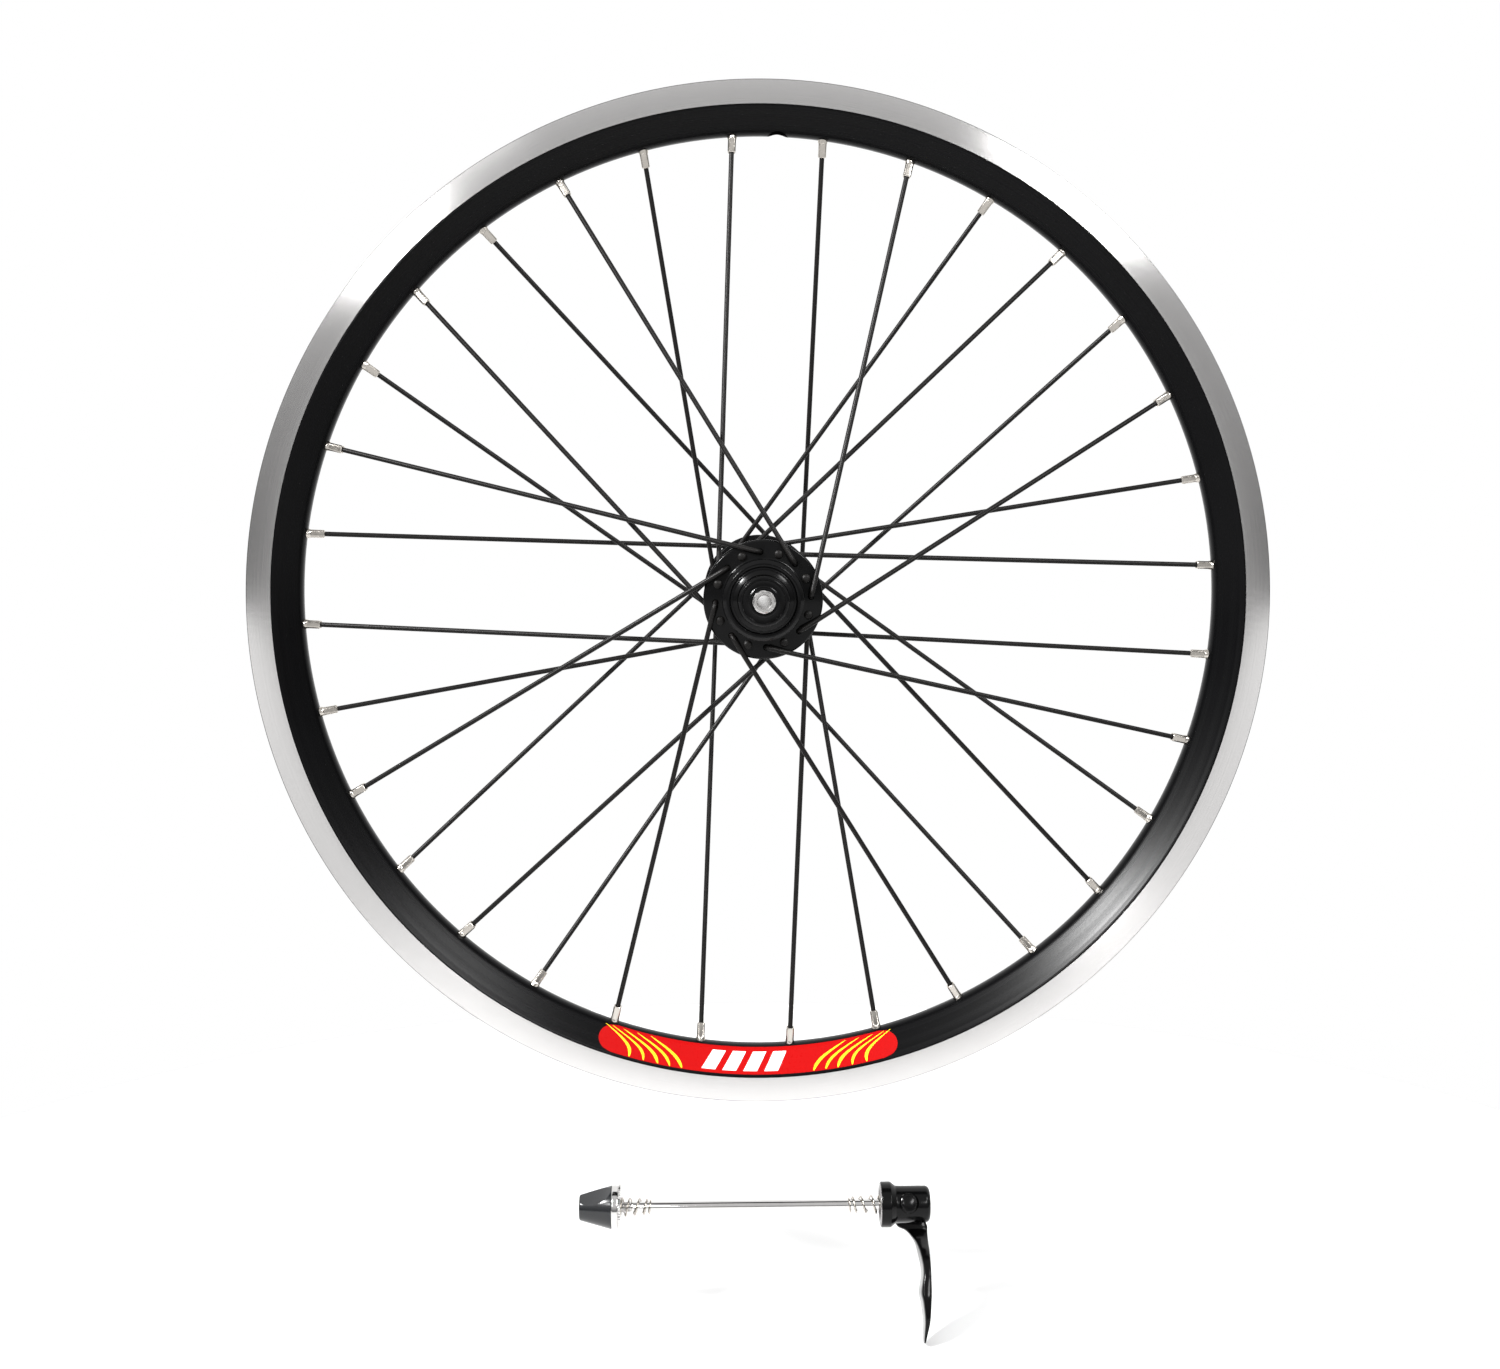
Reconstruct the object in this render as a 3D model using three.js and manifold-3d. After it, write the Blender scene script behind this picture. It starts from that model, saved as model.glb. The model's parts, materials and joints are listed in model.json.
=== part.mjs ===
// A 20 inch (ISO 406) bicycle front wheel for rim brakes, and its quick release skewer laid out below it.
// Millimetres, +Z up. The wheel turns about Y through the origin, and its left side faces -Y.
// Angles round the wheel are in degrees, clockwise from the top as seen from the left side.
import * as THREE from "three";
import { mergeVertices } from "three/addons/utils/BufferGeometryUtils.js";
import Module from "manifold-3d";

const wasm = await Module();
wasm.setup();

// ---- driving dimensions ----------------------------------------------------------------------

const GAP = 0.3; // between pieces that touch on the real wheel
const WHEEL_SEGMENTS = 64;
const HUB_SEGMENTS = 32;
const SMALL_SEGMENTS = 20;

const RIM = {
  outerRadius: 209.7,
  beadSeatRadius: 203, // half of ISO 406
  trackInnerRadius: 199.4, // where the machined brake track ends
  wellRadius: 199.6,
  bedRadius: 188.6, // the innermost surface, which the spokes meet
  halfWidth: 12,
  wall: 2,
  valveHoleRadius: 4.25,
  nippleHoleRadius: 2.35,
  accessHoleRadius: 3.6,
};
const SPOKES = {
  count: 32,
  firstAngle: -3.56,
  crossTurn: 67.5, // how far round the hub a spoke starts from its own nipple: three crosses
  radius: 1,
  headRadius: 1.8,
  headThickness: 0.8,
  sides: 6,
};
const NIPPLE = {
  start: -8.9, // its ends and its head, measured outwards from the seat inside the rim
  headStart: 1.8,
  headEnd: 3.8,
  radius: 2,
  headRadius: 2.9,
};
const HUB = {
  flangeRadius: 23.8,
  holeCircleRadius: 19,
  spokeHoleRadius: 1.35,
  flangeOuterFace: 36.5,
  flangeInnerFace: 33.4,
  shellEnd: 43,
  mouthRadius: 13.3,
  cupBoreRadius: 12.2,
  centreBoreRadius: 8.6,
  locknutFace: 50, // half of the 100 mm over-locknut width
  locknutRadius: 10,
};
const AXLE = { radius: 4.5, boreRadius: 2.65, halfLength: 54, chamfer: 0.8 };
const BEARING = { ballCount: 10, ballRadius: 2.2, circleRadius: 8.4, plane: 37.8 };
const LABEL = { middleAngle: 181.7, halfAngle: 18.6, thickness: 0.3 };

const SKEWER = {
  axisZ: -258,
  lean: 24, // degrees the cam's free end is turned up from facing straight forwards
  rodRadius: 2.2,
  threadRadius: 2.45,
  threadEnd: -74.8,
  threadStart: -54.2,
  boreRadius: 2.8,
};
const CAM = {
  pivotX: 61.8,
  journalRadius: 4,
  throw: 1.2,
  eccentricRadius: 2.8,
  eyeHalfThickness: 2.6,
};
const HOUSING = { face: 50.3, flangeRadius: 9.3, barrelRadius: 7.5, cavityRadius: 6.2, end: 71.1 };
const LEVER = { bossRadius: 6.9, bossNear: 9.1, bossFar: 13, boreRadius: 3.1 };
const NUT = { largeEnd: -62.8, smallEnd: -76.4, largeRadius: 8.9, smallRadius: 5.1 };
const SPRING = {
  wireRadius: 0.4,
  wireSides: 5,
  bigRadius: 3.9,
  smallRadius: 2.85,
  turns: 4.5,
  stepsPerTurn: 10,
};

// ---- materials -------------------------------------------------------------------------------

function material(color, roughness, metalness) {
  return new THREE.MeshStandardMaterial({ color, roughness, metalness });
}

const blackSpoke = material(0x15151a, 0.4, 0.6);
const blackAnodised = material(0x121214, 0.45, 0.5);
const glossBlack = material(0x0b0b0d, 0.15, 0.3);
const brightSteel = material(0xd0d2d6, 0.15, 1);
const darkSteel = material(0x55585e, 0.35, 1);
const blackRubber = material(0x161616, 0.8, 0);
const redFilm = material(0xd8181c, 0.35, 0);

// ---- geometry helpers ------------------------------------------------------------------------

function toSolid(geometry) {
  const bare = geometry.index ? geometry.clone() : geometry;
  bare.deleteAttribute("normal");
  bare.deleteAttribute("uv");
  const merged = mergeVertices(bare);
  return new wasm.Manifold(
    new wasm.Mesh({
      numProp: 3,
      vertProperties: new Float32Array(merged.attributes.position.array),
      triVerts: new Uint32Array(merged.index.array),
    }),
  );
}

function toGeometry(solid) {
  const mesh = solid.getMesh();
  const geometry = new THREE.BufferGeometry();
  geometry.setAttribute("position", new THREE.BufferAttribute(mesh.vertProperties, 3));
  geometry.setIndex(new THREE.BufferAttribute(mesh.triVerts, 1));
  geometry.computeVertexNormals();
  return geometry;
}

function union(...solids) {
  return solids.reduce((joined, solid) => joined.add(solid));
}

// An outline of [radius, distance along the axis] turned about Y, or about X for the skewer.
function turned(outline, segments, alongSkewer = false) {
  const points = outline.map(([radius, along]) => new THREE.Vector2(radius, along));
  if (THREE.ShapeUtils.area(points) < 0) points.reverse();
  if (points[0].x > 0) points.push(points[0].clone());
  const geometry = new THREE.LatheGeometry(points, segments);
  if (alongSkewer) geometry.rotateZ(-Math.PI / 2);
  return toSolid(geometry);
}

function rod(from, to, radius, sides) {
  const along = new THREE.Vector3().subVectors(to, from);
  const geometry = new THREE.CylinderGeometry(radius, radius, along.length(), sides);
  const turn = new THREE.Quaternion().setFromUnitVectors(
    new THREE.Vector3(0, 1, 0),
    along.clone().normalize(),
  );
  geometry.applyQuaternion(turn);
  const middle = new THREE.Vector3().addVectors(from, to).multiplyScalar(0.5);
  return toSolid(geometry.translate(middle.x, middle.y, middle.z));
}

// A closed skin through rings of points, each ring a list of the same number of [x, y, z].
function lofted(rings) {
  const sides = rings[0].length;
  const index = [];
  for (let ring = 0; ring + 1 < rings.length; ring += 1) {
    for (let i = 0; i < sides; i += 1) {
      const a = ring * sides + i;
      const b = ring * sides + ((i + 1) % sides);
      index.push(a, b, a + sides, b, b + sides, a + sides);
    }
  }
  const last = (rings.length - 1) * sides;
  for (let i = 1; i + 1 < sides; i += 1) {
    index.push(0, i + 1, i, last, last + i, last + i + 1);
  }
  const geometry = new THREE.BufferGeometry();
  geometry.setAttribute("position", new THREE.Float32BufferAttribute(rings.flat(2), 3));
  geometry.setIndex(index);
  return toSolid(geometry);
}

function onWheel(radius, degrees, y) {
  const angle = THREE.MathUtils.degToRad(degrees);
  return new THREE.Vector3(radius * Math.sin(angle), y, radius * Math.cos(angle));
}

// Mirrors an outline given for y >= 0 to the other side, making one closed loop of both halves.
function bothHalves(half) {
  return [...half, ...half.map(([radius, y]) => [radius, -y]).reverse()];
}

function onSide(side, outline) {
  return outline.map(([radius, y]) => [radius, side * y]);
}

// ---- spokes and nipples ----------------------------------------------------------------------

// Odd spokes go to the left flange. Two of every four trail and lie outside their flange.
function spokeLine(number) {
  const side = number % 2 === 1 ? -1 : 1;
  const outside = number % 4 === 2 || number % 4 === 3;
  const rimAngle = SPOKES.firstAngle + (360 / SPOKES.count) * (number - 1);
  const hubAngle = rimAngle + (outside ? SPOKES.crossTurn : -SPOKES.crossTurn);
  const besideFace = SPOKES.radius + GAP;
  const edgeRelief = 0.8; // an outside spoke leans inwards, so it stands this far off the face
  const elbowY = outside
    ? HUB.flangeOuterFace + besideFace + edgeRelief
    : HUB.flangeInnerFace - besideFace;
  const headY = outside ? HUB.flangeInnerFace - GAP : HUB.flangeOuterFace + GAP;
  const elbow = onWheel(HUB.holeCircleRadius, hubAngle, side * elbowY);
  const seat = onWheel(RIM.bedRadius + RIM.wall, rimAngle, 0);
  return {
    side,
    rimAngle,
    elbow,
    seat,
    head: onWheel(HUB.holeCircleRadius, hubAngle, side * headY),
    direction: new THREE.Vector3().subVectors(seat, elbow).normalize(),
  };
}

function along(line, distance) {
  return line.seat.clone().addScaledVector(line.direction, distance);
}

// One bent bar: the spoke's head, its shank through the flange, its shaft, and the nipple on its end.
function makeSpoke(number) {
  const line = spokeLine(number);
  const through = new THREE.Vector3(0, Math.sign(line.elbow.y - line.head.y), 0);
  const bend = new THREE.Quaternion().setFromUnitVectors(through, line.direction);
  const mitre = new THREE.Vector3().addVectors(through, line.direction);
  const headEnd = line.head.clone().addScaledVector(through, -SPOKES.headThickness);
  const spokeway = (radius, turn) =>
    Array.from({ length: SPOKES.sides }, (_, i) => {
      const angle = (2 * Math.PI * i * -through.y) / SPOKES.sides;
      const arm = new THREE.Vector3(radius * Math.cos(angle), 0, radius * Math.sin(angle));
      return turn ? arm.applyQuaternion(turn) : arm;
    });
  const ring = (centre, radius, turn) =>
    spokeway(radius, turn).map((arm) => arm.add(centre).toArray());
  const corner = spokeway(SPOKES.radius).map((arm) => {
    const slide = -arm.dot(mitre) / through.dot(mitre);
    return arm.addScaledVector(through, slide).add(line.elbow).toArray();
  });
  return lofted([
    ring(headEnd, SPOKES.headRadius),
    ring(line.head, SPOKES.headRadius),
    ring(line.head, SPOKES.radius),
    corner,
    ring(along(line, NIPPLE.start), SPOKES.radius, bend),
    ring(along(line, NIPPLE.start), NIPPLE.radius, bend),
    ring(along(line, NIPPLE.headStart), NIPPLE.radius, bend),
    ring(along(line, NIPPLE.headStart), NIPPLE.headRadius, bend),
    ring(along(line, NIPPLE.headEnd), NIPPLE.headRadius, bend),
  ]);
}

// ---- rim -------------------------------------------------------------------------------------

const RIM_SLOPE = {
  top: [RIM.trackInnerRadius - 0.5, RIM.halfWidth - 0.4],
  foot: [RIM.bedRadius + 2, 4.7],
};

function makeRim() {
  const section = bothHalves([
    [RIM.wellRadius, 5.5],
    [RIM.beadSeatRadius, 7.6],
    [RIM.beadSeatRadius, 9.7],
    [RIM.outerRadius - 1.1, 9.4],
    [RIM.outerRadius, 10.2],
    [RIM.outerRadius, RIM.halfWidth],
    [RIM.trackInnerRadius, RIM.halfWidth],
    RIM_SLOPE.top,
    RIM_SLOPE.foot,
    [RIM.bedRadius + 0.6, 2.4],
    [RIM.bedRadius, 0.8],
  ]);
  const cavity = bothHalves([
    [RIM.wellRadius - 1.6, 4.9],
    [RIM.beadSeatRadius - 2, 9.5],
    [RIM.trackInnerRadius, 9.5],
    [RIM.bedRadius + 4, 4],
    [RIM.bedRadius + RIM.wall, 1.6],
  ]);
  const cuts = [];
  for (let number = 1; number <= SPOKES.count; number += 1) {
    const line = spokeLine(number);
    cuts.push(rod(along(line, -5), along(line, 1.6), RIM.nippleHoleRadius, 6));
    cuts.push(
      rod(
        onWheel(RIM.wellRadius - 3, line.rimAngle, 0),
        onWheel(RIM.wellRadius + 3, line.rimAngle, 0),
        RIM.accessHoleRadius,
        6,
      ),
    );
  }
  const valveAngle = SPOKES.firstAngle + 180 / SPOKES.count;
  const valveBottom = onWheel(RIM.bedRadius - 3, valveAngle, 0);
  const valveTop = onWheel(RIM.wellRadius + 3, valveAngle, 0);
  cuts.push(rod(valveBottom, valveTop, RIM.valveHoleRadius, 12));
  return turned(section, WHEEL_SEGMENTS)
    .subtract(turned(cavity, WHEEL_SEGMENTS))
    .subtract(union(...cuts));
}

// A printed film on the sloping left face of the rim, opposite the valve.
function makeLabel() {
  const [topRadius, topY] = RIM_SLOPE.top;
  const [footRadius, footY] = RIM_SLOPE.foot;
  const length = Math.hypot(topRadius - footRadius, topY - footY);
  const out = [-(topY - footY) / length, (topRadius - footRadius) / length];
  const edge = (share, height) => [
    footRadius + (topRadius - footRadius) * share + out[0] * height,
    -(footY + (topY - footY) * share + out[1] * height),
  ];
  const high = GAP + LABEL.thickness;
  const outline = [edge(0.05, GAP), edge(0.97, GAP), edge(0.97, high), edge(0.05, high)];
  const band = turned(outline, WHEEL_SEGMENTS);
  const reach = RIM.outerRadius * 1.2;
  const corners = [-1, 1].map((end) => onWheel(reach, LABEL.middleAngle + end * LABEL.halfAngle, 0));
  const level = (y) => [
    [0, y, 0],
    [corners[0].x, y, corners[0].z],
    [corners[1].x, y, corners[1].z],
  ];
  return band.intersect(lofted([level(-RIM.halfWidth * 2), level(0)]));
}

// ---- hub -------------------------------------------------------------------------------------

function makeHubShell() {
  const shell = turned(
    bothHalves([
      [HUB.centreBoreRadius, 33.7],
      [HUB.cupBoreRadius, 33.7],
      [HUB.cupBoreRadius, 39.9],
      [HUB.mouthRadius, 39.9],
      [HUB.mouthRadius, HUB.shellEnd],
      [14.7, HUB.shellEnd],
      [16, 41.7],
      [16, 36.6],
      [HUB.flangeRadius - 0.5, 35.8],
      [HUB.flangeRadius, 35.3],
      [HUB.flangeRadius, 34.5],
      [HUB.flangeRadius - 0.5, 34],
      [16.5, HUB.flangeInnerFace - 0.3],
      [12.6, 26],
    ]),
    HUB_SEGMENTS,
  );
  const holes = [];
  for (let number = 1; number <= SPOKES.count; number += 1) {
    const { elbow, side } = spokeLine(number);
    const near = new THREE.Vector3(elbow.x, side * (HUB.flangeInnerFace - 3), elbow.z);
    const far = new THREE.Vector3(elbow.x, side * (HUB.flangeOuterFace + 3), elbow.z);
    holes.push(rod(near, far, HUB.spokeHoleRadius, 6));
  }
  return shell.subtract(union(...holes));
}

function makeAxle() {
  const { radius, boreRadius, halfLength, chamfer } = AXLE;
  return turned(
    bothHalves([
      [boreRadius, halfLength - chamfer / 2],
      [boreRadius + chamfer / 2, halfLength],
      [radius - chamfer, halfLength],
      [radius, halfLength - chamfer],
    ]),
    SMALL_SEGMENTS,
  );
}

// The points of a ball race: an arc just clear of the balls, from one angle to another.
function race(fromDegrees, toDegrees, points) {
  const clearance = BEARING.ballRadius + 0.35;
  return Array.from({ length: points }, (_, i) => {
    const degrees = fromDegrees + ((toDegrees - fromDegrees) * i) / (points - 1);
    const angle = THREE.MathUtils.degToRad(degrees);
    return [
      BEARING.circleRadius + clearance * Math.cos(angle),
      BEARING.plane + clearance * Math.sin(angle),
    ];
  });
}

const coneBore = AXLE.radius + GAP;
const coneBodyRadius = 7.4;

function makeCone(side) {
  const outline = [
    [coneBore, 36.3],
    [BEARING.circleRadius - 2.55, 36.3],
    ...race(180, 115, 3),
    [coneBodyRadius, 40.4],
    [coneBodyRadius, 45],
    [coneBore, 45],
  ];
  return turned(onSide(side, outline), SMALL_SEGMENTS);
}

function makeBearingCup(side) {
  const outerRadius = HUB.cupBoreRadius - GAP;
  const outline = [
    [outerRadius, 34],
    [outerRadius, 39.5],
    [outerRadius - 0.8, 39.5],
    ...race(10, -80, 4),
    [8.9, 34],
  ];
  return turned(onSide(side, outline), SMALL_SEGMENTS);
}

function makeBallRetainer(side) {
  const ring = turned(
    onSide(side, [
      [7.7, 38.9],
      [9.1, 38.9],
      [9.1, 39.5],
      [7.7, 39.5],
    ]),
    16,
  );
  const balls = Array.from({ length: BEARING.ballCount }, (_, i) => {
    const centre = onWheel(BEARING.circleRadius, (360 / BEARING.ballCount) * i, side * BEARING.plane);
    const ball = new THREE.IcosahedronGeometry(BEARING.ballRadius);
    return toSolid(ball.translate(centre.x, centre.y, centre.z));
  });
  return union(ring, ...balls);
}

function makeDustCap(side) {
  const outerRadius = HUB.mouthRadius - GAP;
  const outline = [
    [9.8, 42.6],
    [outerRadius, 40.3],
    [outerRadius, 43.3],
    [10.2, 44.4],
    [9.8, 44.2],
  ];
  return turned(onSide(side, outline), HUB_SEGMENTS);
}

function makeSeal(side) {
  const inner = coneBodyRadius + GAP;
  const outline = [
    [inner, 41.4],
    [9.4, 41.8],
    [9.4, 43.4],
    [inner, 44],
  ];
  return turned(onSide(side, outline), SMALL_SEGMENTS);
}

function makeLockWasher(side) {
  const outline = [
    [coneBore, 45.3],
    [8.2, 45.3],
    [8.2, 46.7],
    [coneBore, 46.7],
  ];
  return turned(onSide(side, outline), SMALL_SEGMENTS);
}

function makeLocknut(side) {
  const { locknutRadius, locknutFace } = HUB;
  const outline = [
    [coneBore, 47],
    [locknutRadius - 0.4, 47],
    [locknutRadius, 47.4],
    [locknutRadius, locknutFace - 0.7],
    [locknutRadius - 0.7, locknutFace],
    [coneBore, locknutFace],
  ];
  return turned(onSide(side, outline), SMALL_SEGMENTS);
}

// ---- quick release skewer --------------------------------------------------------------------

// The skewer is drawn along X through the origin, with its lever hanging straight down.
function onSkewer(x, y) {
  return new THREE.Vector3(x, y, 0);
}

// An oblong across the skewer with round ends above and below, pushed through from front to back.
function oblong(centreX, halfWidth, halfHeight, halfDepth) {
  const shape = new THREE.Shape();
  const straight = halfHeight - halfWidth;
  shape.absarc(0, straight, halfWidth, 0, Math.PI);
  shape.absarc(0, -straight, halfWidth, Math.PI, 2 * Math.PI);
  const options = { depth: 2 * halfDepth, bevelEnabled: false, curveSegments: 8 };
  const geometry = new THREE.ExtrudeGeometry(shape, options).translate(0, 0, -halfDepth);
  return toSolid(geometry.rotateX(Math.PI / 2).translate(centreX, 0, 0));
}

// The rod ends in an eye, tall enough for the cam to rise and fall in while it draws the rod along.
function makeSkewerRod() {
  const eyeX = CAM.pivotX + CAM.throw;
  const shank = turned(
    [
      [0, SKEWER.threadEnd],
      [SKEWER.threadRadius - 0.4, SKEWER.threadEnd],
      [SKEWER.threadRadius, SKEWER.threadEnd + 0.6],
      [SKEWER.threadRadius, SKEWER.threadStart],
      [SKEWER.rodRadius, SKEWER.threadStart + 0.4],
      [SKEWER.rodRadius, eyeX - 4.4],
      [0, eyeX - 4.4],
    ],
    12,
    true,
  );
  const eye = oblong(eyeX, 4.9, 5.3, CAM.eyeHalfThickness);
  const window = oblong(eyeX, 3.25, 4.15, CAM.eyeHalfThickness + 1);
  return shank.add(eye).subtract(window);
}

function makeCamHousing() {
  const { face, flangeRadius, barrelRadius, cavityRadius, end } = HOUSING;
  const cup = turned(
    [
      [cavityRadius, face + 2.3],
      [8.5, face + 2.3],
      [8.5, face],
      [flangeRadius, face],
      [flangeRadius, face + 3.8],
      [barrelRadius + 0.2, face + 6.2],
      [barrelRadius, face + 6.8],
      [barrelRadius, end - 1.6],
      [barrelRadius - 0.5, end - 0.5],
      [barrelRadius - 1.6, end],
      [0, end],
      [0, end - 1.5],
      [cavityRadius, end - 1.5],
    ],
    SMALL_SEGMENTS,
    true,
  );
  const reach = flangeRadius + 2;
  const crossBore = rod(
    onSkewer(CAM.pivotX, -reach),
    onSkewer(CAM.pivotX, reach),
    CAM.journalRadius + GAP,
    16,
  );
  return cup.subtract(crossBore);
}

function makeHousingFaceRing() {
  const { face, cavityRadius } = HOUSING;
  return turned(
    [
      [cavityRadius, face - 0.4],
      [8.2, face - 0.4],
      [8.2, face + 2],
      [cavityRadius, face + 2],
    ],
    SMALL_SEGMENTS,
    true,
  );
}

// The pin turns with the lever. Its middle is an eccentric that sits in the eye of the rod.
function makeCamPin() {
  const { pivotX, journalRadius, eccentricRadius } = CAM;
  const cheek = CAM.eyeHalfThickness + GAP;
  const tenonRadius = 2.8;
  return union(
    rod(onSkewer(pivotX, -HOUSING.barrelRadius + 0.1), onSkewer(pivotX, -cheek), journalRadius, 20),
    rod(onSkewer(pivotX, cheek), onSkewer(pivotX, LEVER.bossNear - GAP), journalRadius, 20),
    rod(
      onSkewer(pivotX + CAM.throw, -cheek - 0.2),
      onSkewer(pivotX + CAM.throw, cheek + 0.2),
      eccentricRadius,
      16,
    ),
    rod(onSkewer(pivotX, cheek), onSkewer(pivotX, LEVER.bossFar - 0.2), tenonRadius, 12),
  );
}

// Sections of the arm, in millimetres from the pivot: how far below it, the edges nearer the wheel and
// away from it along X, and the front and back edges along Y.
const ARM = [
  [4.5, -4.9, 7.4, LEVER.bossNear, LEVER.bossFar],
  [8.2, -3.8, 9, LEVER.bossNear, LEVER.bossFar],
  [10, -0.3, 9, 9, 13],
  [12.8, 2.2, 8.9, 7, 13],
  [15.5, 3.6, 8.8, 3.5, 12.7],
  [20, 4.5, 8.7, -2.5, 11.6],
  [27, 5.1, 8.6, -6.4, 9.5],
  [34.8, 3.8, 8.4, -7.6, 8.2],
  [39, 4.4, 8.1, -7.6, 7.8],
  [46, 5, 7.4, -6.6, 6.8],
  [51.5, 4.7, 6.1, -4.4, 4.6],
  [54.4, 4.7, 5.4, -2.4, 2.6],
];

function makeCamLever() {
  const rings = ARM.map(([below, inner, outer, front, back]) => {
    const cut = Math.min(outer - inner, back - front) * 0.25;
    const corner = (x, y) => [CAM.pivotX + x, y, -below];
    return [
      corner(inner + cut, front),
      corner(outer - cut, front),
      corner(outer, front + cut),
      corner(outer, back - cut),
      corner(outer - cut, back),
      corner(inner + cut, back),
      corner(inner, back - cut),
      corner(inner, front + cut),
    ].reverse();
  });
  const boss = rod(
    onSkewer(CAM.pivotX, LEVER.bossNear),
    onSkewer(CAM.pivotX, LEVER.bossFar),
    LEVER.bossRadius,
    24,
  );
  const bore = rod(
    onSkewer(CAM.pivotX, LEVER.bossNear - 1),
    onSkewer(CAM.pivotX, LEVER.bossFar + 1),
    LEVER.boreRadius,
    12,
  );
  return union(boss, lofted(rings)).subtract(bore);
}

// A cone of wire on the rod, wide at its seat and closing onto the rod.
function makeSpring(seatX, tipX) {
  const { wireRadius, wireSides, bigRadius, smallRadius, turns, stepsPerTurn } = SPRING;
  const steps = turns * stepsPerTurn;
  class Helix extends THREE.Curve {
    getPoint(t, target = new THREE.Vector3()) {
      const radius = bigRadius + (smallRadius - bigRadius) * t;
      const angle = 2 * Math.PI * turns * t;
      const x = seatX + (tipX - seatX) * t;
      return target.set(x, radius * Math.sin(angle), radius * Math.cos(angle));
    }
  }
  const section = Array.from({ length: wireSides }, (_, i) => {
    const angle = (2 * Math.PI * i) / wireSides;
    return new THREE.Vector2(wireRadius * Math.cos(angle), wireRadius * Math.sin(angle));
  });
  const options = { steps, extrudePath: new Helix(), bevelEnabled: false };
  return toSolid(new THREE.ExtrudeGeometry(new THREE.Shape(section), options));
}

// A cone with two hollowed finger flats, the front one turned towards the top.
function makeAdjustingNut() {
  const cone = turned(
    [
      [SKEWER.boreRadius, NUT.largeEnd],
      [NUT.largeRadius, NUT.largeEnd],
      [NUT.smallRadius, NUT.smallEnd + 0.6],
      [NUT.smallRadius - 0.7, NUT.smallEnd],
      [SKEWER.boreRadius, NUT.smallEnd],
    ],
    SMALL_SEGMENTS,
    true,
  );
  const scoopRadius = 20;
  const scoopDepth = 4.5; // from the axis to the deepest point of a flat
  const scoopX = NUT.smallEnd + 0.85;
  const scoops = [1, -1].map((face) => {
    const out = new THREE.Vector3(0, -Math.SQRT1_2, Math.SQRT1_2).multiplyScalar(face);
    const across = new THREE.Vector3(0, Math.SQRT1_2, Math.SQRT1_2).multiplyScalar(NUT.largeRadius * 1.5);
    const centre = onSkewer(scoopX, 0).addScaledVector(out, scoopDepth + scoopRadius);
    const start = centre.clone().sub(across);
    return rod(start, centre.clone().add(across), scoopRadius, 48);
  });
  return scoops.reduce((nut, scoop) => nut.subtract(scoop), cone);
}

function makeNutFaceRing() {
  const face = NUT.largeEnd + 3.9;
  const back = NUT.largeEnd + GAP;
  return turned(
    [
      [3.2, back],
      [9, back],
      [9.1, face - 1.2],
      [9.3, face - 0.8],
      [9.2, face],
      [6.4, face],
      [5.4, face - 1.8],
      [3.2, face - 1.8],
    ],
    SMALL_SEGMENTS,
    true,
  );
}

// ---- the assembly ----------------------------------------------------------------------------

const assembly = new THREE.Group();

function addPart(parent, name, solid, finish) {
  const mesh = new THREE.Mesh(toGeometry(solid), finish);
  mesh.name = name;
  parent.add(mesh);
}

const wheel = new THREE.Group();
addPart(wheel, "rim", makeRim(), blackAnodised);
addPart(wheel, "rim_label", makeLabel(), redFilm);
addPart(wheel, "hub_shell", makeHubShell(), glossBlack);
for (let number = 1; number <= SPOKES.count; number += 1) {
  addPart(wheel, `spoke_${String(number).padStart(2, "0")}`, makeSpoke(number), blackSpoke);
}
assembly.add(wheel);

const axleSet = new THREE.Group();
addPart(axleSet, "axle", makeAxle(), brightSteel);
for (const [name, side] of [
  ["left", -1],
  ["right", 1],
]) {
  addPart(axleSet, `${name}_cone`, makeCone(side), darkSteel);
  addPart(axleSet, `${name}_seal`, makeSeal(side), blackRubber);
  addPart(axleSet, `${name}_lock_washer`, makeLockWasher(side), darkSteel);
  addPart(axleSet, `${name}_locknut`, makeLocknut(side), glossBlack);
  addPart(axleSet, `${name}_ball_retainer`, makeBallRetainer(side), brightSteel);
  addPart(wheel, `${name}_bearing_cup`, makeBearingCup(side), darkSteel);
  addPart(wheel, `${name}_dust_cap`, makeDustCap(side), glossBlack);
}
assembly.add(axleSet);

const skewer = new THREE.Group();

// Turns a piece of the skewer about the rod and lowers it to its place under the wheel.
function addSkewerPart(name, solid, finish) {
  const placed = solid.rotate([-SKEWER.lean, 0, 0]).translate([0, 0, SKEWER.axisZ]);
  addPart(skewer, name, placed, finish);
}

addSkewerPart("skewer_rod", makeSkewerRod(), brightSteel);
addSkewerPart("cam_housing", makeCamHousing(), glossBlack);
addSkewerPart("housing_face_ring", makeHousingFaceRing(), darkSteel);
addSkewerPart("cam_pin", makeCamPin(), glossBlack);
addSkewerPart("cam_lever", makeCamLever(), glossBlack);
addSkewerPart("lever_side_spring", makeSpring(HOUSING.face + 1.4, HOUSING.face - 13.4), brightSteel);
addSkewerPart("nut_side_spring", makeSpring(NUT.largeEnd + 2.7, NUT.largeEnd + 16.3), brightSteel);
addSkewerPart("adjusting_nut", makeAdjustingNut(), glossBlack);
addSkewerPart("nut_face_ring", makeNutFaceRing(), brightSteel);
assembly.add(skewer);

export default assembly;
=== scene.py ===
"""The looks of a 20 inch bicycle front wheel and its quick release skewer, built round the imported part.

The wheel turns about Y through the origin and its left side faces -Y. The skewer lies along X below it.
Shapes are made in millimetres and become metres when a mesh becomes a piece.
Angles round the wheel are degrees clockwise from the top, as seen from the left side.
"""

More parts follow.
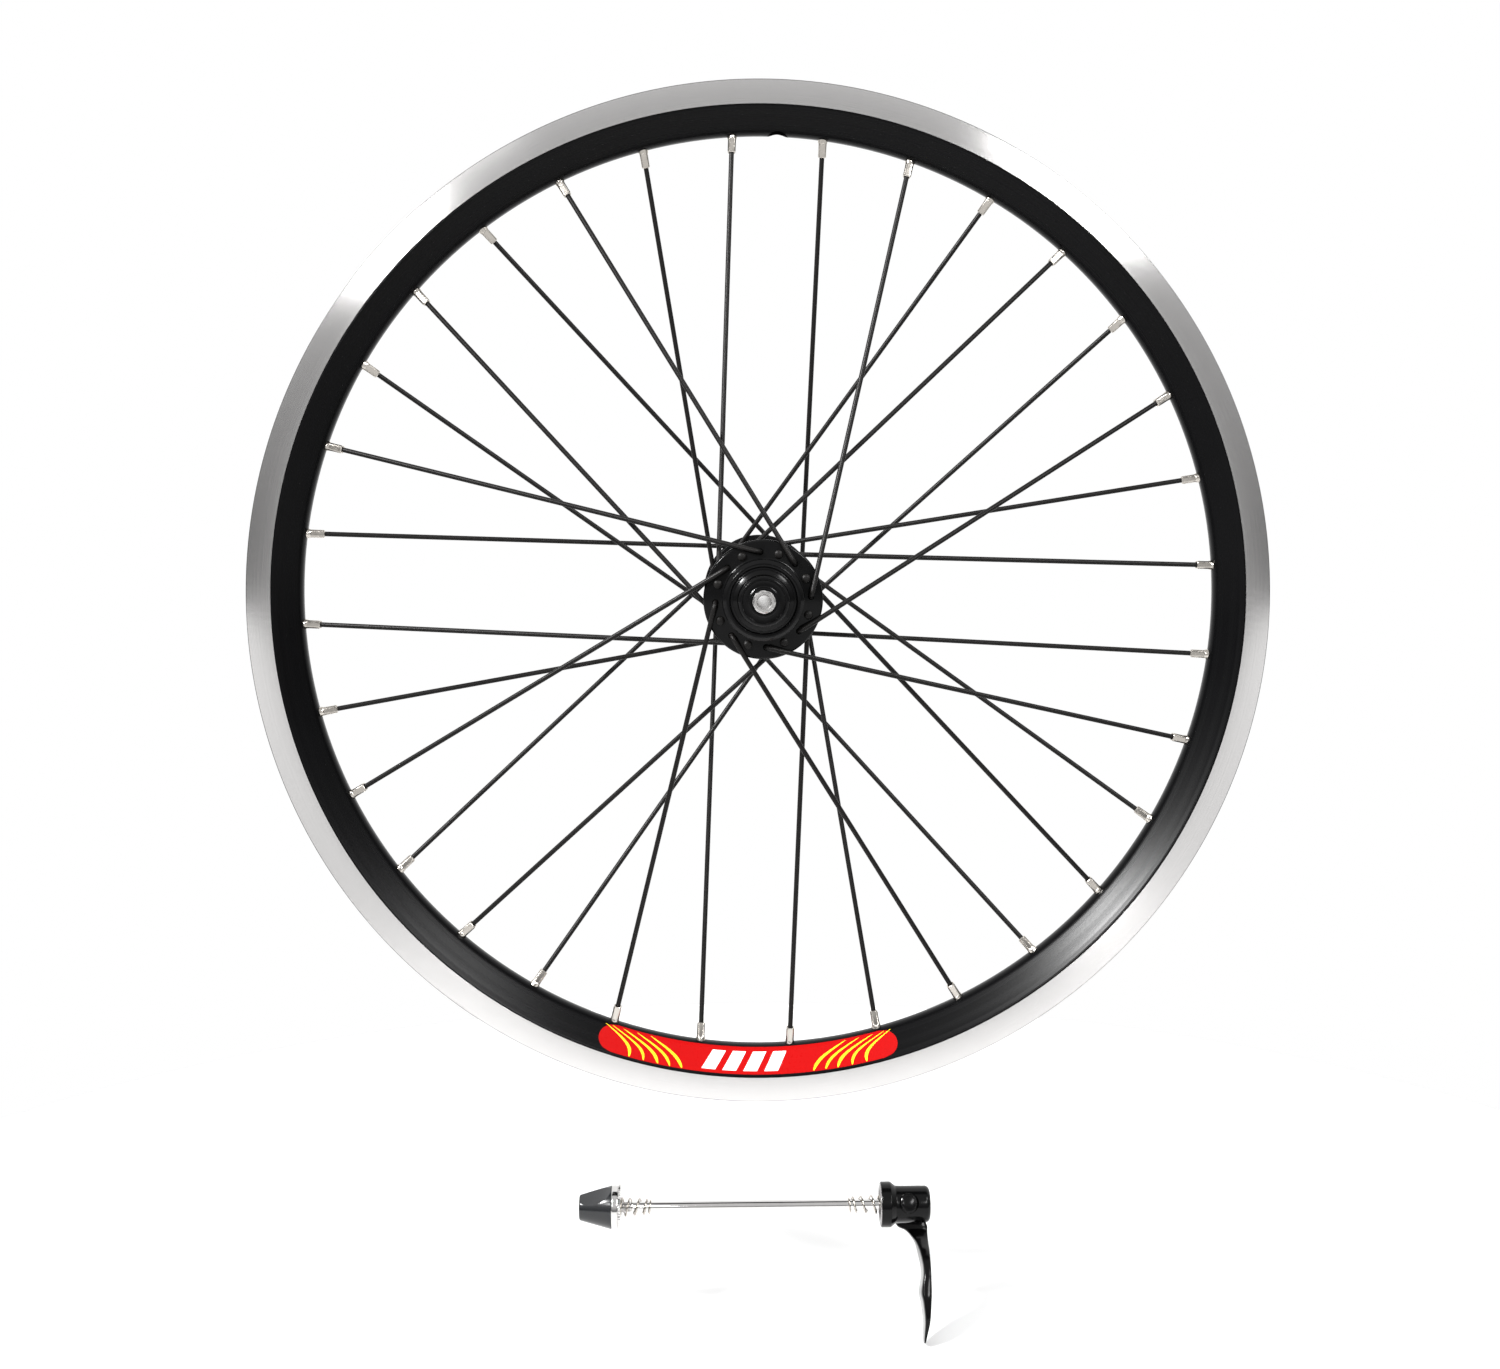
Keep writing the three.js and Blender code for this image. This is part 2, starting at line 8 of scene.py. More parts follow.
import json
import math
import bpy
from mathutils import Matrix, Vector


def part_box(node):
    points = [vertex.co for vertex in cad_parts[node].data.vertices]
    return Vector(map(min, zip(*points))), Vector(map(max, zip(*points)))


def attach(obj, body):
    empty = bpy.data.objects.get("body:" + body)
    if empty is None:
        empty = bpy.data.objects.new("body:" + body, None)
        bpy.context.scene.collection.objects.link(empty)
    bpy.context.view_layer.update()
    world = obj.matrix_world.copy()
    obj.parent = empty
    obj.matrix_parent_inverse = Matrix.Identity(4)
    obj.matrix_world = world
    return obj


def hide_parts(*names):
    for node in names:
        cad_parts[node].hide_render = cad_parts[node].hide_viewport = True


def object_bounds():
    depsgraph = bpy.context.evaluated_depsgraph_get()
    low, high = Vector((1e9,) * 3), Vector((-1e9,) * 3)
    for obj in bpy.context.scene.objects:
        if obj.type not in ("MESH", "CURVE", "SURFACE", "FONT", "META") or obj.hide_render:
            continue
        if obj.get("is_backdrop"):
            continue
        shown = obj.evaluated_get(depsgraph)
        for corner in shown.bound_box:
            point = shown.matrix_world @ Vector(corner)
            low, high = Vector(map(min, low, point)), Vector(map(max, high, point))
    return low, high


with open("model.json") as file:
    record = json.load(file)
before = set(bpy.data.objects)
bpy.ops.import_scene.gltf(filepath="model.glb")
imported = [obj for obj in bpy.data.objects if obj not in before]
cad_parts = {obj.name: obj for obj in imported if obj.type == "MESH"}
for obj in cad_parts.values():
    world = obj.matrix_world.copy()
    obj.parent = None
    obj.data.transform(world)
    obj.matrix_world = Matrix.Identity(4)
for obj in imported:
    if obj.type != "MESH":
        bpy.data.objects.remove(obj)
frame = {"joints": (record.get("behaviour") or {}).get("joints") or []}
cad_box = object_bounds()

from types import SimpleNamespace as Sizes

import bmesh
import bpy
from mathutils import Matrix, Vector

scene = bpy.context.scene

# ---- sizes -----------------------------------------------------------------------------------

MM = 0.001
WHEEL_SEGMENTS = 384
HUB_SEGMENTS = 144
SMALL_SEGMENTS = 96
BOTH_SIDES = (("left", -1), ("right", 1))


def lever_joint():
    """Where the lever's pivot is, and how far the skewer is turned about its rod to face up."""
    joint = next(j for j in frame["joints"] if j["name"] == "lever_pivot")
    _, forwards, up = joint["axis"]
    return Vector(joint["pos_m"]) / MM, math.atan2(up, -forwards)


def cad_corners(node):
    """The lowest and highest corner of a CAD node, in millimetres."""
    low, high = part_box(node)
    return low / MM, high / MM


PIVOT, SKEWER_LEAN = lever_joint()
RIM = Sizes(outer=cad_corners("rim")[1].x, half_width=cad_corners("rim")[1].y, bed=188.6, wall=2.0,
            well=199.6, track_foot=199.75, spoke_hole=2.2, access_hole=3.6, valve_hole=4.25)
SPOKE = Sizes(count=32, first_angle=-3.56, cross_turn=67.5, radius=1.0, hole_circle=19.0, elbow_radius=2.2)
NIPPLE = Sizes(tip=-8.9, square_end=-3.3, round_start=-2.8, head_start=1.8, head_end=3.8,
               radius=1.97, flat=1.64, head_radius=2.9)
HUB = Sizes(flange_outer=36.5, flange_inner=33.4, flange_radius=23.8, cup_bore=12.2, mouth=13.3)
AXLE = Sizes(radius=4.5, bore=2.65, half_length=cad_corners("axle")[1].y)
BEARING = Sizes(balls=10, ball_radius=2.2, circle=8.4, plane=37.8)
SKEWER = Sizes(rod=2.2, thread=2.45, thread_end=-74.8, thread_start=-54.2, bore=2.8)
HOUSING = Sizes(face=50.3, flange=9.3, barrel=7.5, cavity=6.2, end=71.1)
CAM = Sizes(throw=1.2, radius=2.8, cheek=2.9, journal=4.0)
SPRING = Sizes(turns=4.9, wide=3.9, narrow=2.85, wire=0.4)
NUT = Sizes(large_end=-62.8, small_end=-76.4, large=8.9, small=5.1, scoop_radius=20, scoop_depth=4.5)

# ---- mesh helpers ----------------------------------------------------------------------------


def round_wheel(radius, along, angle):
    """A point at that radius from the wheel's axle, that far along it."""
    return Vector((radius * math.sin(angle), along, radius * math.cos(angle)))


def round_skewer(radius, along, angle):
    """The skewer is drawn along X through the origin, with its lever hanging straight down."""
    return Vector((along, radius * math.sin(angle), radius * math.cos(angle)))


def round_pivot(radius, along, angle):
    return Vector((PIVOT.x + radius * math.sin(angle), along, radius * math.cos(angle)))


def on_wheel(radius, degrees, along):
    return round_wheel(radius, along, math.radians(degrees))


def rounded(corners, steps=5):
    """A closed outline of (x, y, fillet radius) corners, with an arc at each corner that has a radius."""
    outline = []
    for i, (x, y, radius) in enumerate(corners):
        here = Vector((x, y))
        before = Vector(corners[i - 1][:2]) - here
        after = Vector(corners[(i + 1) % len(corners)][:2]) - here
        half = before.angle(after) / 2
        if radius == 0 or half > math.radians(89.5):
            outline.append((x, y))
            continue
        reach = min(radius / math.tan(half), 0.49 * before.length, 0.49 * after.length)
        radius = reach * math.tan(half)
        centre = here + (before.normalized() + after.normalized()).normalized() * radius / math.sin(half)
        first = here + before.normalized() * reach - centre
        last = here + after.normalized() * reach - centre
        start = math.atan2(first.y, first.x)
        sweep = (math.atan2(last.y, last.x) - start + math.pi) % math.tau - math.pi
        for step in range(steps + 1):
            turn = start + sweep * step / steps
            outline.append((centre.x + radius * math.cos(turn), centre.y + radius * math.sin(turn)))
    return outline


def both_halves(half):
    """Mirrors corners given for y >= 0, making one closed loop of both halves."""
    return [*half, *[(radius, -y, fillet) for radius, y, fillet in reversed(half)]]


def on_side(side, corners):
    return [(radius, side * y, fillet) for radius, y, fillet in corners]


def finished(mesh):
    bmesh.ops.remove_doubles(mesh, verts=mesh.verts, dist=1e-5)
    bmesh.ops.recalc_face_normals(mesh, faces=mesh.faces)
    return mesh


def skin(rings, looped=False):
    """A closed mesh through rings of points. A looped one joins its last ring to its first."""
    mesh = bmesh.new()
    rows = [[mesh.verts.new(point) for point in ring] for ring in rings]
    for row, following in zip(rows, rows[1:] + rows[:1] if looped else rows[1:]):
        for i, vertex in enumerate(row):
            j = (i + 1) % len(row)
            mesh.faces.new((vertex, row[j], following[j], following[i]))
    if not looped:
        mesh.faces.new(rows[0])
        mesh.faces.new(rows[-1])
    return finished(mesh)


def turned(outline, segments, place=round_wheel, ripple=None):
    """A closed outline of (radius, along) turned once round. A ripple changes each point's radius."""
    def ring(radius, along):
        for i in range(segments):
            angle = math.tau * i / segments
            yield place(ripple(radius, along, angle) if ripple else radius, along, angle)
    return skin([list(ring(radius, along)) for radius, along in outline], looped=True)


def rod(start, end, radius, sides=32):
    """A straight round bar between two points, used to cut holes."""
    direction = (end - start).normalized()
    across = direction.orthogonal().normalized()
    other = direction.cross(across)
    turns = [math.tau * i / sides for i in range(sides)]
    arms = [across * radius * math.cos(turn) + other * radius * math.sin(turn) for turn in turns]
    return skin([[end_point + arm for arm in arms] for end_point in (start, end)])


def swept(stations, sides):
    """A round bar through (centre, direction, radius) stations."""
    rings = []
    across = stations[0][1].orthogonal().normalized()
    for centre, direction, radius in stations:
        direction = direction.normalized()
        across = (across - direction * across.dot(direction)).normalized()
        other = direction.cross(across)
        turns = [math.tau * i / sides for i in range(sides)]
        rings.append([centre + radius * (across * math.cos(turn) + other * math.sin(turn)) for turn in turns])
    return skin(rings)


def merged(meshes):
    """One mesh of several that stay separate shells."""
    whole = bmesh.new()
    for mesh in meshes:
        data = bpy.data.meshes.new("part")
        mesh.to_mesh(data)
        mesh.free()
        whole.from_mesh(data)
        bpy.data.meshes.remove(data)
    return whole


def combined(base, tool, operation):
    """The union or difference of two closed meshes."""
    objects = []
    for mesh in (base, tool):
        data = bpy.data.meshes.new("operand")
        mesh.to_mesh(data)
        mesh.free()
        operand = bpy.data.objects.new("operand", data)
        scene.collection.objects.link(operand)
        objects.append(operand)
    modifier = objects[0].modifiers.new("combine", "BOOLEAN")
    modifier.operation = operation
    modifier.solver = "EXACT"
    modifier.object = objects[1]
    result = bmesh.new()
    result.from_object(objects[0], bpy.context.evaluated_depsgraph_get())
    for operand in objects:
        data = operand.data
        bpy.data.objects.remove(operand)
        bpy.data.meshes.remove(data)
    return result


def cut(base, *tools):
    return combined(base, merged(tools) if len(tools) > 1 else tools[0], "DIFFERENCE")


def piece(name, mesh, body, slot, materials, nodes=(), sharp_above=32):
    """Makes a mesh in millimetres into a named piece that rides on a body and stands for CAD nodes."""
    data = bpy.data.meshes.new(name)
    mesh.to_mesh(data)
    mesh.free()
    data.transform(Matrix.Scale(MM, 4))
    for material in materials:
        data.materials.append(material)
    data.shade_smooth()
    data.set_sharp_from_angle(angle=math.radians(sharp_above))
    made = bpy.data.objects.new(name, data)
    scene.collection.objects.link(made)
    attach(made, body)
    if nodes:
        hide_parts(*nodes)
    return made


def copy_of(original, name, body, turn_degrees, nodes=()):
    """Another piece with the same mesh, turned round the axle."""
    made = bpy.data.objects.new(name, original.data)
    scene.collection.objects.link(made)
    made.matrix_world = Matrix.Rotation(math.radians(turn_degrees), 4, "Y")
    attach(made, body)
    if nodes:
        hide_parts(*nodes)
    return made


# ---- materials -------------------------------------------------------------------------------


class Finish:
    """A Principled material whose colour, roughness and relief come from fine procedural grain."""

    def __init__(self, name, colour, metallic, roughness, **shader):
        self.material = bpy.data.materials.new(name)
        self.material.use_nodes = True
        self.tree = self.material.node_tree
        self.shader = next(n for n in self.tree.nodes if n.type == "BSDF_PRINCIPLED")
        self.colour = colour
        self.roughness = roughness
        self.shader.inputs["Base Color"].default_value = (*colour, 1)
        self.shader.inputs["Metallic"].default_value = metallic
        self.shader.inputs["Roughness"].default_value = roughness
        for socket, value in shader.items():
            self.shader.inputs[socket.replace("_", " ")].default_value = value
        self.relief = None
        self.metres = self.add("ShaderNodeTexCoord").outputs["Object"]

    def add(self, kind, inputs=None, **settings):
        node = self.tree.nodes.new(kind)
        for setting, value in settings.items():
            setattr(node, setting, value)
        for socket, value in (inputs or {}).items():
            if isinstance(value, bpy.types.NodeSocket):
                self.tree.links.new(value, node.inputs[socket])
            else:
                node.inputs[socket].default_value = value
        return node

    def math(self, operation, first, second=0.0):
        return self.add("ShaderNodeMath", {0: first, 1: second}, operation=operation).outputs[0]

    def noise(self, grain):
        """Blotches about grain millimetres across."""
        inputs = {"Vector": self.metres, "Scale": 1 / (grain * MM), "Detail": 3.0}
        return self.add("ShaderNodeTexNoise", inputs).outputs[0]

    def rings(self, grain, axis, centre=(0, 0, 0)):
        """Tool marks round an axis, about grain millimetres apart, on faces and on cylinders alike."""
        places = {0: self.metres, 1: Vector(centre) * MM}
        moved = self.add("ShaderNodeVectorMath", places, operation="SUBTRACT")
        parts = self.add("ShaderNodeSeparateXYZ", {0: moved.outputs[0]})
        along = parts.outputs[axis]
        across = [parts.outputs[i] for i in range(3) if i != "XYZ".index(axis)]
        squares = [self.math("MULTIPLY", part, part) for part in across]
        radius = self.math("SQRT", self.math("ADD", *squares))
        place = self.math("ADD", radius, along)
        inputs = {"W": place, "Scale": 1 / (grain * MM), "Detail": 2.0}
        return self.add("ShaderNodeTexNoise", inputs, noise_dimensions="1D").outputs[0]

    def tint(self, source, amount):
        """Makes the colour lighter and darker by that share."""
        dark, light = [tuple(min(1, c * (1 + sign * amount)) for c in self.colour) for sign in (-1, 1)]
        mix = self.add("ShaderNodeMix", data_type="RGBA")
        colours = [socket for socket in mix.inputs if socket.type == "RGBA"]
        colours[0].default_value = (*dark, 1)
        colours[1].default_value = (*light, 1)
        self.tree.links.new(source, mix.inputs[0])
        out = next(socket for socket in mix.outputs if socket.type == "RGBA")
        self.tree.links.new(out, self.shader.inputs["Base Color"])
        return self

    def polish(self, source, amount):
        """Makes the roughness vary by that much."""
        inputs = {"Value": source, "From Min": 0.25, "From Max": 0.75,
                  "To Min": max(0.02, self.roughness - amount), "To Max": self.roughness + amount}
        out = self.add("ShaderNodeMapRange", inputs).outputs[0]
        self.tree.links.new(out, self.shader.inputs["Roughness"])
        return self

    def bumps(self, source, height):
        """Relief of that height in millimetres."""
        inputs = {"Height": source, "Distance": height * MM, "Strength": 1.0}
        node = self.add("ShaderNodeBump", inputs)
        if self.relief:
            self.tree.links.new(self.relief, node.inputs["Normal"])
        self.relief = node.outputs[0]
        self.tree.links.new(self.relief, self.shader.inputs["Normal"])
        return self


def make_materials():
    made = {}

    def keep(finish):
        made[finish.material.name] = finish.material

    satin = Finish("satin_black_anodising", (0.0012, 0.0012, 0.0014), 0.0, 0.27, Specular_IOR_Level=0.09)
    satin.tint(satin.noise(9), 0.25).polish(satin.rings(0.5, "Y"), 0.05)
    satin.bumps(satin.rings(0.35, "Y"), 0.012).bumps(satin.noise(0.3), 0.006)
    keep(satin)

    track = Finish("turned_aluminium", (0.68, 0.67, 0.665), 1.0, 0.2, Anisotropic=1.0,
                   Anisotropic_Rotation=0.25)
    track.tint(track.rings(0.45, "Y"), 0.06).polish(track.rings(0.22, "Y"), 0.07)
    track.bumps(track.rings(0.16, "Y"), 0.004).bumps(track.noise(2.5), 0.003)
    tangent = track.add("ShaderNodeTangent", direction_type="RADIAL", axis="Y")
    track.tree.links.new(tangent.outputs[0], track.shader.inputs["Tangent"])
    keep(track)

    gloss = Finish("gloss_black", (0.0016, 0.0016, 0.0017), 0.0, 0.16, Specular_IOR_Level=0.13,
                   Coat_Weight=0.05, Coat_Roughness=0.05)
    gloss.tint(gloss.noise(6), 0.3).polish(gloss.noise(3), 0.02).bumps(gloss.noise(2.5), 0.002)
    keep(gloss)

    spoke = Finish("black_spoke_steel", (0.0036, 0.0032, 0.003), 0.0, 0.42, Specular_IOR_Level=0.15)
    spoke.tint(spoke.noise(5), 0.3).polish(spoke.noise(6), 0.04)
    keep(spoke)

    nickel = Finish("nickel_plate", (0.52, 0.49, 0.45), 1.0, 0.2)
    nickel.tint(nickel.noise(3), 0.12).polish(nickel.noise(1.5), 0.05).bumps(nickel.noise(1.5), 0.006)
    keep(nickel)

    bright = Finish("bright_steel", (0.58, 0.57, 0.56), 1.0, 0.22)
    bright.tint(bright.noise(4), 0.06).polish(bright.noise(2), 0.03).bumps(bright.noise(2), 0.002)
    keep(bright)

    rod_chrome = Finish("rod_chrome", (0.62, 0.61, 0.60), 1.0, 0.1)
    rod_chrome.tint(rod_chrome.noise(3), 0.05).polish(rod_chrome.rings(0.4, "X", PIVOT), 0.04)
    rod_chrome.bumps(rod_chrome.rings(0.25, "X", PIVOT), 0.002)
    keep(rod_chrome)

    hard = Finish("ground_steel", (0.36, 0.35, 0.35), 1.0, 0.3)
    hard.tint(hard.noise(2), 0.15).polish(hard.rings(0.25, "Y"), 0.08).bumps(hard.rings(0.2, "Y"), 0.006)
    keep(hard)

    ball = Finish("polished_ball_steel", (0.72, 0.72, 0.73), 1.0, 0.05)
    ball.tint(ball.noise(2), 0.03).polish(ball.noise(0.5), 0.02)
    keep(ball)

    rubber = Finish("black_rubber", (0.014, 0.014, 0.014), 0.0, 0.75)
    rubber.tint(rubber.noise(1.5), 0.3).bumps(rubber.noise(0.3), 0.02)
    keep(rubber)

    spring = Finish("spring_wire", (0.46, 0.43, 0.39), 1.0, 0.17)
    spring.tint(spring.noise(1.2), 0.15).polish(spring.noise(0.4), 0.07).bumps(spring.noise(0.15), 0.003)
    keep(spring)

    nut = Finish("nut_black", (0.009, 0.0098, 0.011), 0.0, 0.14, Specular_IOR_Level=0.5)
    nut.tint(nut.noise(3), 0.3).polish(nut.noise(3), 0.03).bumps(nut.noise(2.5), 0.002)
    keep(nut)

    for name, colour in (("red_film", (0.30, 0.003, 0.003)), ("yellow_print", (0.80, 0.58, 0.02)),
                         ("white_print", (0.80, 0.80, 0.80))):
        film = Finish(name, colour, 0.0, 0.3, Specular_IOR_Level=0.06)
        film.tint(film.noise(3), 0.05).polish(film.noise(1), 0.05).bumps(film.noise(0.8), 0.006)
        keep(film)
    return Sizes(**made)


look = make_materials()

# ---- rim and label ---------------------------------------------------------------------------

RIM_FACE_TOP = (198.7, 11.5)
RIM_FACE_FOOT = (RIM.bed, 3.02)
RIM_HALF = [
    (RIM.well, 5.2, 1.2),
    (203.0, 7.6, 0.7),
    (203.0, 10.0, 0.9),
    (206.6, 10.1, 1.0),
    (RIM.outer - 1.1, 9.5, 0.4),
    (RIM.outer, 10.1, 0.5),
    (RIM.outer, RIM.half_width, 0.4),
    (RIM.track_foot, RIM.half_width, 0.04),
    (199.55, 11.7, 0.08),
    (199.3, 11.85, 0.12),
    (*RIM_FACE_TOP, 0.5),
    (*RIM_FACE_FOOT, 5.5),
]
RIM_CAVITY_HALF = [(198.0, 4.6, 1.0), (201.0, 9.2, 0.8), (199.6, 9.7, 0.8), (RIM.bed + RIM.wall, 2.32, 3.6)]


def spoke_line(number):
    """Where a spoke runs. Odd ones go to the left flange, and two of every four lie outside their flange."""
    side = -1 if number % 2 else 1
    outside = number % 4 in (2, 3)
    rim_angle = SPOKE.first_angle + 360 / SPOKE.count * (number - 1)
    hub_angle = rim_angle + (SPOKE.cross_turn if outside else -SPOKE.cross_turn)
    clearance = SPOKE.radius + 0.3
    elbow_y = HUB.flange_outer + clearance + 0.8 if outside else HUB.flange_inner - clearance
    head_y = HUB.flange_inner - 0.05 if outside else HUB.flange_outer + 0.05
    elbow = on_wheel(SPOKE.hole_circle, hub_angle, side * elbow_y)
    seat = on_wheel(RIM.bed + RIM.wall, rim_angle, 0)
    through = Vector((0, side if outside else -side, 0))
    return Sizes(rim_angle=rim_angle, elbow=elbow, seat=seat, through=through,
                 head=on_wheel(SPOKE.hole_circle, hub_angle, side * head_y),
                 direction=(seat - elbow).normalized())


def make_rim():
    solid = turned(rounded(both_halves(RIM_HALF)), WHEEL_SEGMENTS)
    cavity = turned(rounded(both_halves(RIM_CAVITY_HALF), 3), WHEEL_SEGMENTS)
    holes = []
    for number in range(1, SPOKE.count + 1):
        line = spoke_line(number)
        holes.append(rod(line.seat - line.direction * 5, line.seat + line.direction * 4, RIM.spoke_hole, 24))
        holes.append(rod(on_wheel(RIM.well - 3, line.rim_angle, 0), on_wheel(RIM.well + 3, line.rim_angle, 0),
                         RIM.access_hole, 32))
    valve_angle = SPOKE.first_angle + 180 / SPOKE.count
    holes.append(rod(on_wheel(RIM.bed - 3, valve_angle, 0), on_wheel(RIM.well + 3, valve_angle, 0),
                     RIM.valve_hole, 48))
    made = cut(cut(solid, cavity), *holes)
    for face in made.faces:
        middle = face.calc_center_median()
        on_track = abs(middle.y) > RIM.half_width - 0.05 and abs(face.normal.y) > 0.9
        face.material_index = 1 if on_track else 0
    piece("rim_extrusion", made, "wheel", "rim", [look.satin_black_anodising, look.turned_aluminium], ["rim"])


LABEL = Sizes(middle=181.7, half_length=63.4, end_width=13.2, top=(198.55, 11.37), read_radius=195,
              foot_fillet=5.5, fillet_start=2.56, round_reach=1.75, film=(0.02, 0.12), ink=(0.121, 0.15))


def label_point(length, share, height):
    """A spot that far along the label from its middle. Share is 0 at its outer edge and 1 at its inner."""
    slope = Vector(RIM_FACE_TOP) - Vector(RIM_FACE_FOOT)
    out = Vector((-slope.y, slope.x)).normalized()
    straight_end = Vector(RIM_FACE_FOOT) + slope.normalized() * LABEL.fillet_start
    top = Vector(LABEL.top)
    straight = (top - straight_end).length
    distance = (straight + LABEL.round_reach) * share
    if distance <= straight:
        spot = top + (straight_end - top).normalized() * distance
    else:
        centre = straight_end - out * LABEL.foot_fillet
        turn = (distance - straight) / LABEL.foot_fillet
        out = Matrix.Rotation(turn, 2) @ out
        spot = centre + out * LABEL.foot_fillet
    spot = spot + out * height
    return on_wheel(spot.x, LABEL.middle - math.degrees(length / LABEL.read_radius), -spot.y)


def slab(spots, low, high):
    """A thin closed film between two heights over rows of (length, share) spots on the label."""
    rows = len(spots)
    columns = len(spots[0])
    mesh = bmesh.new()
    levels = [[[mesh.verts.new(label_point(*spot, height)) for spot in row] for row in spots]
              for height in (low, high)]
    for level in levels:
        for r in range(rows - 1):
            for c in range(columns - 1):
                mesh.faces.new((level[r][c], level[r][c + 1], level[r + 1][c + 1], level[r + 1][c]))
    edge = [(0, c) for c in range(columns)] + [(r, columns - 1) for r in range(1, rows)]
    edge += [(rows - 1, c) for c in range(columns - 2, -1, -1)] + [(r, 0) for r in range(rows - 2, 0, -1)]
    for (r, c), (next_r, next_c) in zip(edge, edge[1:] + edge[:1]):
        below, above = levels
        mesh.faces.new((below[r][c], below[next_r][next_c], above[next_r][next_c], above[r][c]))
    return finished(mesh)


def make_label_film():
    """A red strip with round ends."""
    radius = LABEL.end_width / 2
    rows = []
    for step in range(17):
        share = step / 16
        off_middle = (2 * share - 1) * radius
        end = LABEL.half_length - radius + math.sqrt(max(0, radius ** 2 - off_middle ** 2))
        rows.append([(end * (2 * c / 72 - 1), share) for c in range(73)])
    piece("label_film", slab(rows, *LABEL.film), "wheel", "label", [look.red_film], ["rim_label"])


def make_label_streaks():
    """Five bowed, tapered streaks at each end: where each starts, its reach, its bow and its width."""
    streaks = []
    for end in (-1, 1):
        for start, reach, bow, thickness in ((27, 15, 3.0, 1.5), (32, 16, 3.5, 1.3), (37, 17, 4.0, 1.5),
                                             (43, 16, 4.5, 1.2), (49, 13, 4.0, 1.3)):
            band = []
            for step in range(21):
                t = step / 20
                middle = start + reach * t - bow * math.sin(math.pi * t)
                half = 0.5 * thickness * (0.25 + math.sin(math.pi * t) ** 0.7)
                share = 0.03 + 0.9 * t
                band.append([(end * (middle - half), share), (end * (middle + half), share)])
            streaks.append(slab(band, *LABEL.ink))
    piece("label_streaks", merged(streaks), "wheel", "label", [look.yellow_print])


def make_label_bars():
    """Four slanted bars in the middle."""
    bars = []
    for number in range(4):
        start = -17 + 8.6 * number
        band = []
        for step in range(9):
            share = 0.12 + 0.7 * step / 8
            lean = 4.0 * (step / 8 - 0.5)
            band.append([(start + lean, share), (start + lean + 3, share), (start + lean + 5.6, share)])
        bars.append(slab(band, *LABEL.ink))
    piece("label_bars", merged(bars), "wheel", "label", [look.white_print])


make_rim()
make_label_film()
make_label_streaks()
make_label_bars()

# ---- spokes and nipples ----------------------------------------------------------------------


# Height and radius of the rings of a spoke's domed head.
SPOKE_HEAD = [(0.86, 0.02), (0.84, 0.6), (0.7, 1.2), (0.45, 1.62), (0.15, 1.8), (0, 1.76)]


def make_spoke(number, name):
    """A bent spoke: domed head, shank through the flange, elbow, and shaft into the nipple."""
    line = spoke_line(number)
    stations = [(line.head - line.through * height, line.through, radius) for height, radius in SPOKE_HEAD]
    stations.append((line.head, line.through, SPOKE.radius))
    turn = line.through.angle(line.direction)
    reach = SPOKE.elbow_radius * math.tan(turn / 2)
    start = line.elbow - line.through * reach
    inwards = (line.direction - line.through * line.direction.dot(line.through)).normalized()
    pivot = start + inwards * SPOKE.elbow_radius
    axis = line.through.cross(line.direction).normalized()
    steps = 10
    for step in range(steps + 1):
        bend = Matrix.Rotation(turn * step / steps, 3, axis)
        stations.append((pivot + bend @ (start - pivot), bend @ line.through, SPOKE.radius))
    shaft_start = stations[-1][0]
    end = line.seat + line.direction * (NIPPLE.head_start - 1)
    for share in (0.25, 0.5, 0.75, 1):
        stations.append((shaft_start.lerp(end, share), line.direction, SPOKE.radius))
    shape = swept(stations, 20)
    return piece(name, shape, "wheel", "spoke", [look.black_spoke_steel], [f"spoke_{number:02d}"])


def nipple_ring(line, distance, flat, radius):
    """A cross-section of a nipple: a square of that half width whose corners lie on a circle."""
    around = line.direction.cross(Vector((0, 1, 0))).normalized()
    other = line.direction.cross(around)
    centre = line.seat + line.direction * distance
    points = []
    for i in range(48):
        turn = math.tau * (i + 0.5) / 48
        side = flat / max(abs(math.cos(turn)), abs(math.sin(turn)))
        arm = min(side, radius)
        points.append(centre + arm * (around * math.cos(turn) + other * math.sin(turn)))
    return points


def make_nipple(number, name):
    line = spoke_line(number)
    n = NIPPLE
    bore = SPOKE.radius + 0.06
    profile = [
        (n.tip + 0.5, bore, bore), (n.tip, bore + 0.25, bore + 0.25),
        (n.tip, n.flat - 0.25, n.radius - 0.45), (n.tip + 0.25, n.flat - 0.05, n.radius - 0.15),
        (n.tip + 0.6, n.flat, n.radius),
        (n.square_end, n.flat, n.radius), (n.square_end + 0.25, n.flat + 0.2, n.radius),
        (n.round_start, n.radius, n.radius), (n.round_start + 0.5, n.radius + 0.08, n.radius + 0.08),
        (n.head_start - 0.5, n.radius + 0.08, n.radius + 0.08), (n.head_start, n.head_radius, n.head_radius),
        (n.head_end - 0.7, n.head_radius, n.head_radius),
        (n.head_end - 0.2, n.head_radius - 0.5, n.head_radius - 0.5),
        (n.head_end, n.head_radius - 1.2, n.head_radius - 1.2), (n.head_end, bore, bore),
    ]
    mesh = skin([nipple_ring(line, *section) for section in profile], looped=True)
    return piece(name, mesh, "wheel", "nipple", [look.nickel_plate], sharp_above=25)


